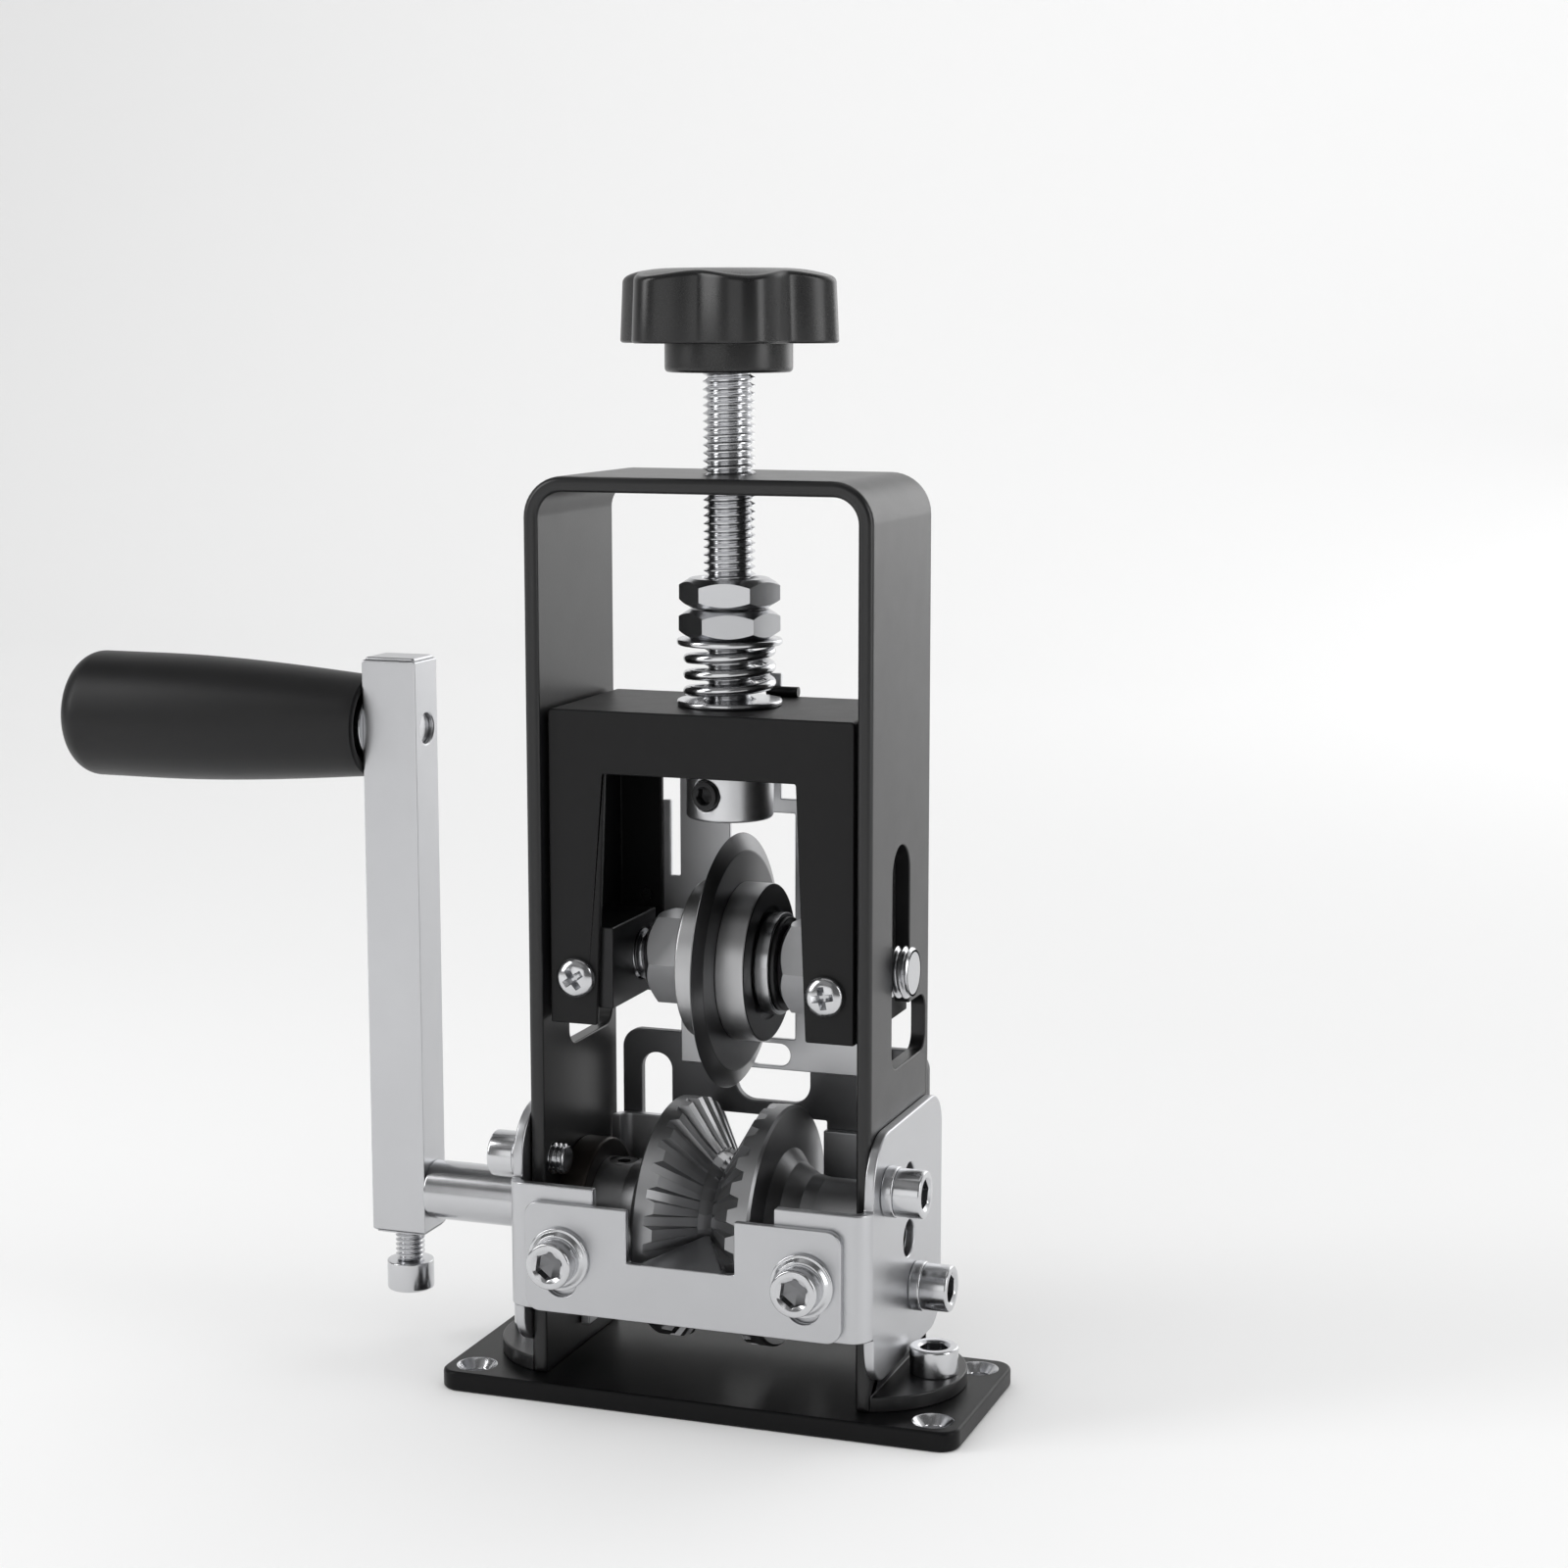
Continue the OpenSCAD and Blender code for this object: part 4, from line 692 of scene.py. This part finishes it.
# Drive line
def bearing_shape(length, edges):
    """A flanged bearing whose sleeve fills the wall from z = 0."""
    sleeve_r, flange_r, wall = 8.0, 14.0, 3.0
    outline = [(SHAFT_BORE, 0), (sleeve_r, 0), (sleeve_r, wall), (flange_r, wall), (flange_r, length),
               (SHAFT_BORE, length), (SHAFT_BORE, 0)]
    return lathe(soften(outline, [0, 0.2, 0, *edges, 0]))


left_bearing = reach("left_bearing")
right_bearing = reach("right_bearing")
piece("left_bearing_turned", bearing_shape(left_bearing.width, (0.5, 0.6, 0.4)), BRONZE, "frame",
      "left_bearing", on_drive_axis(left_bearing.left))
piece("right_bearing_turned", bearing_shape(right_bearing.width, (0.3, 0.4, 0.3)), BRONZE, "frame",
      "right_bearing", on_drive_axis(right_bearing.right, LEFT))

crank_bar = reach("crank_bar")
SPIGOT_R = 3.5


def shaft_shape():
    """The drive shaft from the bar's outer face, with its spigot through the bar."""
    start = drive_shaft.left - crank_bar.left
    shoulder = crank_bar.width
    end = drive_shaft.right - crank_bar.left
    outline = [(0, start), (SPIGOT_R, start), (SPIGOT_R, shoulder), (SHAFT_R, shoulder), (SHAFT_R, end),
               (0, end)]
    return lathe(soften(outline, [0, 0.4, 0, 0.5, 0.6, 0]))


piece("drive_shaft_turned", shaft_shape(), SHAFT, "crank", "drive_shaft",
      on_drive_axis(crank_bar.left))
coat("feed_roller", ROLLER)
coat("roller_set_screw", BLACK_OXIDE)

thrust_washer = reach("thrust_washer")
THRUST_WASHER_R = 10.75
piece("thrust_washer_turned", ring_shape(thrust_washer.width, THRUST_WASHER_R, SHAFT_BORE, edge=0.3),
      CHROME, "crank", "thrust_washer", on_drive_axis(thrust_washer.left))

# Crank bar and its clamp screw
rounded("crank_bar", ALUMINIUM, radius=0.45, angle=30)
clamp_screw = reach("crank_clamp_screw")
CLAMP_Z = clamp_screw.bottom + TALL_HEAD.height
socket_screw("clamp_screw_threaded", "crank", "crank_clamp_screw", TALL_HEAD, clamp_screw.top - CLAMP_Z,
             aim((clamp_screw.right - TALL_HEAD.radius, AXIS_Y, CLAMP_Z), DOWN, turn=10))

# Handle
handle_axle = reach("handle_axle")


def axle_shape():
    """The handle's axle from the bar's outer face: stub, collar, shank and a head with a hexagon socket."""
    stub_r, collar_r, shank_r, head_r, socket_r = 3.0, 6.5, 4.0, 6.0, 2.2
    collar, head = 3.2, 2.2
    key, lead_in, key_depth, drill = 3.4, 0.1, 1.4, 1.8
    start = crank_bar.left - handle_axle.right
    end = crank_bar.left - handle_axle.left
    outline = [(0, start), (stub_r, start), (stub_r, 0), (collar_r, 0), (collar_r, collar),
               (shank_r, collar), (shank_r, end - head), (head_r, end - head), (head_r, end),
               (socket_r, end)]
    socket = [(hexagon(key), end - lead_in), (hexagon(key), end - key_depth), (0, end - drill)]
    return lathe(soften(outline, [0, 0.3, 0, 0.3, 0.6, 0.2, 0, 0.2, 0.7, 0]) + socket)


def grip_radius(share):
    """The grip swells from its neck until four fifths of its straight length."""
    neck_r, swell, full_at = 10.2, 2.8, 0.8
    return neck_r + swell * math.sin(math.radians(90 * min(1, share / full_at)))


def grip_shape():
    """The grip from its neck, with a bore, a recess round the axle's collar and a rounded end."""
    length = handle_grip.width
    bore, end_r, stations = 4.05, 5.0, 40
    recess_r, recess_depth, recess_lip = 8.0, 4.0, 0.7
    mouth_r, mouth_depth, mouth_lip = 6.3, 3.1, 0.7
    straight = length - end_r
    recess = [(bore, recess_depth), (recess_r - 0.3, recess_depth), (recess_r, recess_depth - 0.4),
              (recess_r, recess_lip), (recess_r + 0.25, 0.2), (recess_r + 0.8, 0.0), (9.7, 0.0),
              (10.1, 0.25)]
    side = [(grip_radius(i / stations), i / stations * straight) for i in range(1, stations + 1)]
    angles = [math.radians(a) for a in range(6, 91, 6)]
    end = [(grip_radius(1) - end_r * (1 - math.cos(a)), straight + end_r * math.sin(a)) for a in angles]
    mouth = [(mouth_r + 0.7, length), (mouth_r + 0.1, length - 0.2), (mouth_r, length - mouth_lip),
             (mouth_r, length - mouth_depth), (bore, length - mouth_depth)]
    return lathe(recess + side + end + mouth + recess[:1], 128)


piece("handle_axle_turned", axle_shape(), CHROME, "crank", "handle_axle",
      aim((crank_bar.left, AXIS_Y, GRIP_Z), LEFT))
piece("handle_grip_turned", grip_shape(), GRIP, "grip", "handle_grip",
      aim((handle_grip.right, AXIS_Y, GRIP_Z), LEFT), sharp=40, evened=False)

# Pressure screw
pressure_screw = reach("pressure_screw")
piece("pressure_screw_threaded",
      threaded(M10_R, M10_PITCH, pressure_screw.bottom + BORE_GAP, pressure_screw.top - BORE_GAP,
               chamfer=0.9, segs=64),
      CHROME, "adjuster", "pressure_screw", on_screw_axis(0), evened=False)

# Star knob: six broad lobes, a crown that falls towards them, and a hub
star_knob = reach("star_knob")
LOBES, LOBE_TURN = 6, math.radians(0.6)
HOLLOW_R, LOBE_RISE, LOBE_BREADTH = 17.9, 3.85, 0.85
CROWN_H, CROWN_R, CROWN_FALL, CROWN_SHARE = 14.0, 11.5, 0.0215, 0.9
CROWN_RINGS = 12
DRAFT, TOP_EDGE, LOW_EDGE = 0.5, 1.3, 0.6
HUB_R, HUB_H, HUB_LAP = 12.25, 5.5, 0.5


def knob_radius(a):
    """The outline with a soft hollow between each lobe and the next."""
    share = 0.5 + 0.5 * math.cos(LOBES * (a - LOBE_TURN))
    return HOLLOW_R + LOBE_RISE * share**LOBE_BREADTH


def knob_top(r):
    """Height of the crown, which falls faster towards the lobes."""
    return CROWN_H - CROWN_FALL * max(0.0, r - CROWN_R) ** 2


def crown_ring(share):
    """A ring on the crown at a share of its outline."""
    def radius(a):
        return share * (knob_radius(a) - DRAFT)

    return radius, lambda a: knob_top(radius(a))


def top_edge_ring(angle):
    """A ring of the rolled edge between the crown, at angle 0, and the side."""
    inward = TOP_EDGE * (1 - math.sin(angle))
    down = TOP_EDGE * (1 - math.cos(angle))
    return (lambda a: knob_radius(a) - DRAFT - inward,
            lambda a: knob_top(knob_radius(a) - DRAFT - TOP_EDGE) - down)


def low_edge_ring(angle):
    """A ring of the rolled edge between the side, at angle 0, and the underside."""
    inward = LOW_EDGE * (1 - math.cos(angle))
    return lambda a: knob_radius(a) - inward, LOW_EDGE * (1 - math.sin(angle))


def knob_shape():
    """The head with its lobes, and the hub under it."""
    rings = [(0, CROWN_H)]
    rings += [crown_ring(i / CROWN_RINGS * CROWN_SHARE) for i in range(1, CROWN_RINGS + 1)]
    rings += [top_edge_ring(math.radians(t)) for t in range(0, 91, 10)]
    rings += [low_edge_ring(math.radians(t)) for t in range(0, 91, 15)]
    rings.append((HUB_R + BORE_GAP, 0.0))
    verts, faces = lathe(rings, 240)
    head = [(x, y, z + HUB_H) for x, y, z in verts], faces
    hub = [(M10_BORE, 0.4), (M10_BORE, 0), (HUB_R, 0), (HUB_R, HUB_H + HUB_LAP)]
    return join(head, lathe(soften(hub, [0, 0.2, 1.0, 0]), 120))


piece("star_knob_moulded", knob_shape(), KNOB, "adjuster", "star_knob",
      on_screw_axis(star_knob.bottom), sharp=46, evened=False)

# Lock nuts and the spring's washers
WASHER_R, WASHER_EDGE = 10.2, 0.45
NUT_SHARP = 25
for height, turn in (("upper", 13.7), ("lower", 18.1)):
    lock_nut = reach(height + "_lock_nut")
    spin = Matrix.Rotation(math.radians(turn), 4, "Z")
    piece(height + "_nut_turned", nut_shape(M10_NUT, lock_nut.height, M10_BORE), NUT, "adjuster",
          height + "_lock_nut", Matrix.Translation((0, AXIS_Y, lock_nut.bottom)) @ spin,
          NUT_SHARP)
upper_washer = reach("upper_spring_washer")
lower_washer = reach("lower_spring_washer")
for height, body, washer in (("upper", "screw_carrier", upper_washer), ("lower", "carriage", lower_washer)):
    piece(height + "_washer_turned", ring_shape(washer.height, WASHER_R, M10_BORE, WASHER_EDGE), CHROME,
          body, height + "_spring_washer", on_screw_axis(washer.bottom))

# Pressure spring
COIL_R, WIRE_R, COIL_TURNS, COIL_START = 8.0, 1.0, 2.68, -42
WIRE_CUT = 0.9  # what the wire's ends keep of its radius


def coil(low, high, steps=40, sides=16):
    """A round wire wound up from low to high, with flat cut ends."""
    verts, faces = [], []
    n = int(COIL_TURNS * steps)
    sweep = FULL_TURN * COIL_TURNS
    for i in range(n + 1):
        a = math.radians(COIL_START) + sweep * i / n
        out = Vector((math.cos(a), math.sin(a), 0))
        centre = Vector((COIL_R * math.cos(a), COIL_R * math.sin(a), low + (high - low) * i / n))
        lead = Vector((-math.sin(a) * COIL_R * sweep, math.cos(a) * COIL_R * sweep,
                       high - low)).normalized()
        up = lead.cross(out) * -1
        thick = WIRE_R * (WIRE_CUT if i in (0, n) else 1)
        for k in range(sides):
            b = FULL_TURN * k / sides
            verts.append(tuple(centre + (out * math.cos(b) + up * math.sin(b)) * thick))
    for i in range(n):
        for k in range(sides):
            j = (k + 1) % sides
            faces.append((i * sides + k, (i + 1) * sides + k, (i + 1) * sides + j, i * sides + j))
    faces.append(tuple(range(sides)))
    faces.append(tuple(n * sides + k for k in reversed(range(sides))))
    return verts, faces


spring = piece("pressure_spring_wire",
               coil(lower_washer.top + END_GAP + WIRE_R, upper_washer.bottom - END_GAP - WIRE_R), SPRING,
               "screw_carrier", "pressure_spring", on_screw_axis(0), sharp=60, evened=False)
upper_washer.bottom * MM
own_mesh(spring)

# Collar and its set screw
rounded("screw_collar", COLLAR, radius=0.3, angle=30)
set_screw = reach("collar_set_screw")
SET_SCREW_TURN = math.radians(-104)
SET_SCREW_START = 5.1


def set_screw_shape():
    """A set screw with a chamfered foot and a hexagon socket."""
    r, foot_r, chamfer, height = 3.0, 2.5, 0.5, 3.9
    rim_r, face_r, mouth_r = 2.75, 2.2, 1.85
    key, key_top, key_floor, drill = 3.0, 3.6, 2.2, 1.8
    body = [(0, 0), (foot_r, 0), (r, chamfer), (r, height - 0.6), (rim_r, height - 0.05), (face_r, height),
            (mouth_r, height)]
    return lathe(body + [(hexagon(key), key_top), (hexagon(key), key_floor), (0, drill)], 72)


outward = (math.cos(SET_SCREW_TURN), math.sin(SET_SCREW_TURN), 0)
piece("collar_set_screw_socket", set_screw_shape(), BLACK_OXIDE, "adjuster", "collar_set_screw",
      aim((SET_SCREW_START * outward[0], AXIS_Y + SET_SCREW_START * outward[1],
           middle(set_screw.bottom, set_screw.top)),
          outward, turn=15))

# Carriage
rounded("blade_carriage", SHEET_BLACK, radius=0.4)
rounded("carriage_rear_plate", TAIL, radius=0.25, segments=2)
rounded("shaft_blocks", BLACK_OXIDE, radius=0.3, segments=2)
coat("rear_plate_rivets", NUT)
coat("rear_plate_pin", BLACK_OXIDE)

carriage = reach("blade_carriage")
cross_screws = reach("carriage_screws")
PAN_R, PAN_H, PAN_FOOT = 4.0, 2.4, 0.35
M4_R, M4_PITCH, M4_CHAMFER = 2.0, 0.7, 0.3
RECESS_HALF_WIDTHS, RECESS_HALF_LENGTHS, RECESS_HEIGHTS = (0.80, 0.26), (2.7, 0.9), (2.7, 0.6)


def pan_head():
    """A domed head on z = 0."""
    roundness = 0.8
    angles = [math.radians(a) for a in range(10, 90, 8)]
    dome = [(PAN_R * math.cos(a) ** roundness, PAN_FOOT + (PAN_H - PAN_FOOT) * math.sin(a)) for a in angles]
    return lathe([(0, 0), (3.8, 0), (PAN_R, 0.15), (PAN_R, PAN_FOOT)] + dome + [(0, PAN_H)], 96)


def recess_wing(name, turn):
    """An object with the shape of one wing of the cross recess, which narrows downwards; its faces give the
    recess walls the darker nut steel as painted shade.
    """
    corners = [
        (x * half_length, y * half_width, height)
        for half_width, half_length, height in zip(RECESS_HALF_WIDTHS, RECESS_HALF_LENGTHS, RECESS_HEIGHTS)
        for x, y in ((-1, -1), (1, -1), (1, 1), (-1, 1))
    ]
    quads = [(3, 2, 1, 0), (4, 5, 6, 7), (0, 1, 5, 4), (1, 2, 6, 5), (2, 3, 7, 6), (3, 0, 4, 7)]
    spin = Matrix.Rotation(math.radians(turn), 4, "Z")
    mesh = bpy.data.meshes.new(name)
    mesh.from_pydata([(spin @ Vector(p)) * MM for p in corners], [], quads)
    bm = bmesh.new()
    bm.from_mesh(mesh)
    bmesh.ops.recalc_face_normals(bm, faces=bm.faces)
    bm.to_mesh(mesh)
    bm.free()
    # Every face of the wing takes the darker nut steel, which the cut leaves on the recess walls as painted
    # shade
    wing = show(name, mesh, [CHROME, NUT])
    paint(wing, lambda centre, normal: True)
    return wing


def make_cross_screw(name, x, turn):
    """Pan head screw with a cross recess, in one leg of the carriage."""
    obj = piece(name, pan_head(), [CHROME, NUT], "carriage", "carriage_screws",
                evened=False)
    wings = [recess_wing(name + "_cut", wing_turn) for wing_turn in (0, 90)]
    for wing in wings:
        less = obj.modifiers.new("cut", "BOOLEAN")
        less.operation = "DIFFERENCE"
        less.solver = "EXACT"
        less.object = wing
    bpy.context.view_layer.update()
    settle(obj)
    for wing in wings:
        bpy.data.objects.remove(wing)
    move = aim((x, carriage.front, middle(cross_screws.bottom, cross_screws.top)), FORWARD, turn)
    obj.data.transform(Matrix.Scale(MM, 4) @ move @ Matrix.Scale(1 / MM, 4))
    mark_sharp(obj.data, SHARP)
    even(obj)
    shank = threaded(M4_R, M4_PITCH, carriage.front - cross_screws.back, END_GAP, M4_CHAMFER, 36)
    piece(name + "_shank", shank, CHROME, "carriage", "carriage_screws", move, evened=False)


make_cross_screw("carriage_screw_left", cross_screws.left + PAN_R, turn=34)
make_cross_screw("carriage_screw_right", cross_screws.right - PAN_R, turn=9)

# Blade shaft and its nuts
blade_shaft = reach("blade_shaft")
piece("blade_shaft_threaded",
      threaded(M10_R, M10_PITCH, 0, blade_shaft.width, chamfer=0.5, segs=56), SHAFT, "carriage",
      "blade_shaft", on_blade_axis(blade_shaft.left), evened=False)
for hand, side in SIDES:
    nut = reach(hand + "_shaft_nut")
    piece(hand + "_shaft_nut_turned", nut_shape(M10_NUT, nut.width, M10_BORE, share=0.87, slope=40),
          SHAFT_NUT, "carriage", hand + "_shaft_nut", on_blade_axis(nut.left), NUT_SHARP)

# Blade, with the flanges that clamp it, their bush and a ring
HUB_BORE = 7.0
BLADE_R, BEVEL_R, BEVEL_START_R = 25.0, 21.7, 21.2
FLANGE_R, FLANGE_SEGS = 15.5, 160
FACING = 0.8  # a normal this far along X belongs to a flange's side


def blade_shape():
    """The blade round z = 0: flat sides, a long bevel and a fine ground edge."""
    half = cutting_blade.width / 2
    bevel_drop = 0.06
    ground_r, ground_half = 24.6, 0.2
    tip_r, tip_half = 24.9, 0.09
    one_side = [(HUB_BORE, half), (BEVEL_START_R, half), (BEVEL_R, half - bevel_drop),
                (ground_r, ground_half), (tip_r, tip_half)]
    other_side = [(r, -z) for r, z in one_side]
    return lathe(other_side + [(BLADE_R, 0.0)] + one_side[::-1] + other_side[:1], 180)


def on_bevel(centre, normal):
    """Test for the faces of the blade's bevel and edge."""
    return Vector((centre.y - AXIS_Y, centre.z - BLADE_Z)).length > (BEVEL_START_R + BEVEL_R) / 2


def left_flange_shape(thick):
    """A plain disc."""
    outline = [(HUB_BORE, 0), (FLANGE_R, 0), (FLANGE_R, thick), (HUB_BORE, thick), (HUB_BORE, 0)]
    return lathe(soften(outline, [0, 0.6, 0.3, 0, 0]), FLANGE_SEGS)


def right_flange_shape(thick):
    """A disc whose outer face is sunk a little round the bore."""
    face_r, sunk_r, sunk = 11.2, 10.6, thick - 0.4
    outline = [(HUB_BORE, 0), (FLANGE_R, 0), (FLANGE_R, thick), (face_r, thick), (sunk_r, sunk),
               (HUB_BORE, sunk), (HUB_BORE, 0)]
    return lathe(soften(outline, [0, 0.2, 0.5, 0.1, 0, 0, 0]), FLANGE_SEGS)


def bush_shape(length):
    """The bush from the left flange's outer face, with a collar that holds the right one."""
    collar_start, collar_end, collar_r, turned_r = length - 4.0, length - 1.0, 10.0, 9.4
    outline = [(M10_BORE, 0), (HUB_BORE, 0), (HUB_BORE, collar_start), (collar_r, collar_start),
               (collar_r, collar_end), (turned_r, collar_end), (HUB_BORE, collar_end), (HUB_BORE, length),
               (M10_BORE, length), (M10_BORE, 0)]
    return lathe(soften(outline, [0, 0.2, 0, 0.4, 0.7, 0, 0, 0.2, 0, 0]), 128)


right_flange = reach("right_blade_flange")
bush = reach("blade_bush")
bush_ring = reach("bush_ring")
BUSH_RING_R = 9.2
blade = piece("cutting_blade_ground", blade_shape(), [BLADE, BLADE_EDGE], "blade", "cutting_blade",
              on_blade_axis(BLADE_X), sharp=16)
paint(blade, on_bevel)
piece("left_flange_turned", left_flange_shape(left_flange.width), FLANGE, "blade",
      "left_blade_flange", on_blade_axis(left_flange.left))
outer_flange = piece("right_flange_turned", right_flange_shape(right_flange.width),
                     [FLANGE, FLANGE_FACE], "blade", "right_blade_flange",
                     on_blade_axis(right_flange.left))
paint(outer_flange, lambda centre, normal: abs(normal.x) > FACING)
piece("blade_bush_turned", bush_shape(bush.width), NUT, "blade", "blade_bush",
      on_blade_axis(bush.left))
piece("bush_ring_turned", ring_shape(bush_ring.width, BUSH_RING_R, HUB_BORE, edge=0.3), BLACK_OXIDE,
      "blade", "bush_ring", on_blade_axis(bush_ring.left))

# Floor, in metres like the lights and the camera
FLOOR_HALF_WIDTH, FLOOR_FRONT, COVE_START, COVE_R, BACKDROP_TOP = 12.0, -12.0, 1.2, 0.8, 3.5
FLOOR_GREY, FLOOR_ROUGH = 0.86, 0.9


def make_floor():
    """A pale floor that curves up into a backdrop."""
    angles = [math.radians(a) for a in range(6, 91, 6)]
    line = [(FLOOR_FRONT, 0.0), (COVE_START, 0.0)]
    line += [(COVE_START + COVE_R * math.sin(a), COVE_R - COVE_R * math.cos(a)) for a in angles]
    line.append((COVE_START + COVE_R, BACKDROP_TOP))
    verts = [(x, y, z) for y, z in line for x in (-FLOOR_HALF_WIDTH, FLOOR_HALF_WIDTH)]
    faces = [(2 * i, 2 * i + 1, 2 * i + 3, 2 * i + 2) for i in range(len(line) - 1)]
    mesh = bpy.data.meshes.new("floor")
    mesh.from_pydata(verts, [], faces)
    for face in mesh.polygons:
        face.use_smooth = True
    mat = bpy.data.materials.new("floor_pale")
    mat.use_nodes = True
    skin = mat.node_tree.nodes["Principled BSDF"]
    skin.inputs["Base Color"].default_value = (FLOOR_GREY, FLOOR_GREY, FLOOR_GREY, 1)
    skin.inputs["Roughness"].default_value = FLOOR_ROUGH
    show("floor", mesh, mat)


def softbox(name, at, to, size, power):
    """A soft rectangular light that the camera doesn't see, in watts."""
    light = bpy.data.lights.new(name, "AREA")
    light.shape = "RECTANGLE"
    light.size, light.size_y = size
    light.energy = power
    obj = bpy.data.objects.new(name, light)
    obj.location = at
    obj.rotation_euler = (Vector(to) - Vector(at)).to_track_quat("-Z", "Y").to_euler()
    obj.visible_camera = False
    bpy.context.scene.collection.objects.link(obj)


make_floor()
softbox("key", at=(-0.75, -0.45, 0.55), to=(-0.02, 0, 0.1), size=(0.30, 0.75), power=3.2)
softbox("front", at=(-0.10, -0.95, 1.10), to=(0, -0.75, 0), size=(1.2, 0.8), power=0.5)
softbox("panel", at=(-0.14, -1.60, 0.46), to=(0, 0, 0.12), size=(1.3, 0.8), power=3.3)
softbox("rim", at=(0.52, 1.30, 0.55), to=(0.03, 0, 0.12), size=(0.8, 1.0), power=3.0)
softbox("fill", at=(0.95, -0.10, 0.40), to=(0, 0, 0.1), size=(0.35, 0.75), power=2.6)
softbox("top", at=(0.0, 0.10, 1.0), to=(0, 0, 0.1), size=(0.8, 0.6), power=0.8)
softbox("back", at=(0.0, 1.0, 1.2), to=(0, 1.9, 0.7), size=(2.4, 0.8), power=6)
softbox("behind", at=(0.0, -1.9, 1.1), to=(0, -3.2, 0.0), size=(3.0, 1.0), power=9)

# World: bright for diffuse light, a little darker for the camera, and darkest in reflections for contrast
SKY = 0.76
SKY_CHANGES = (("Is Glossy Ray", -0.64), ("Is Camera Ray", -0.16))
world = bpy.data.worlds.new("studio")
world.use_nodes = True
world.cycles.sampling_method = "NONE"
world_tree = world.node_tree
backing = world_tree.nodes["Background"]
backing.inputs["Color"].default_value = (1, 1, 1, 1)
rays = world_tree.nodes.new("ShaderNodeLightPath")
changed = []
for ray, change in SKY_CHANGES:
    step = world_tree.nodes.new("ShaderNodeMath")
    step.operation = "MULTIPLY_ADD"
    step.inputs[1].default_value = change
    step.inputs[2].default_value = SKY
    world_tree.links.new(rays.outputs[ray], step.inputs[0])
    if changed:
        world_tree.links.new(changed[-1].outputs[0], step.inputs[2])
    changed.append(step)
world_tree.links.new(changed[-1].outputs[0], backing.inputs["Strength"])
bpy.context.scene.world = world
bpy.context.scene.view_settings.view_transform = "Standard"
bpy.context.scene.view_settings.look = "None"

# Camera, where the photograph was taken from
CAMERA_AT = (0.20575, -0.54584, 0.21069)
CAMERA_YAW, CAMERA_PITCH = math.radians(19.541), math.radians(8.709)
camera_data = bpy.data.cameras.new("camera")
camera_data.sensor_width = 36
camera_data.lens = 70.0
camera_data.clip_start = 0.01
camera = bpy.data.objects.new("camera", camera_data)
camera.location = CAMERA_AT
ahead = Vector((
    -math.sin(CAMERA_YAW) * math.cos(CAMERA_PITCH),
    math.cos(CAMERA_YAW) * math.cos(CAMERA_PITCH),
    -math.sin(CAMERA_PITCH),
))
camera.rotation_euler = ahead.to_track_quat("-Z", "Y").to_euler()
bpy.context.scene.collection.objects.link(camera)
bpy.context.scene.camera = camera
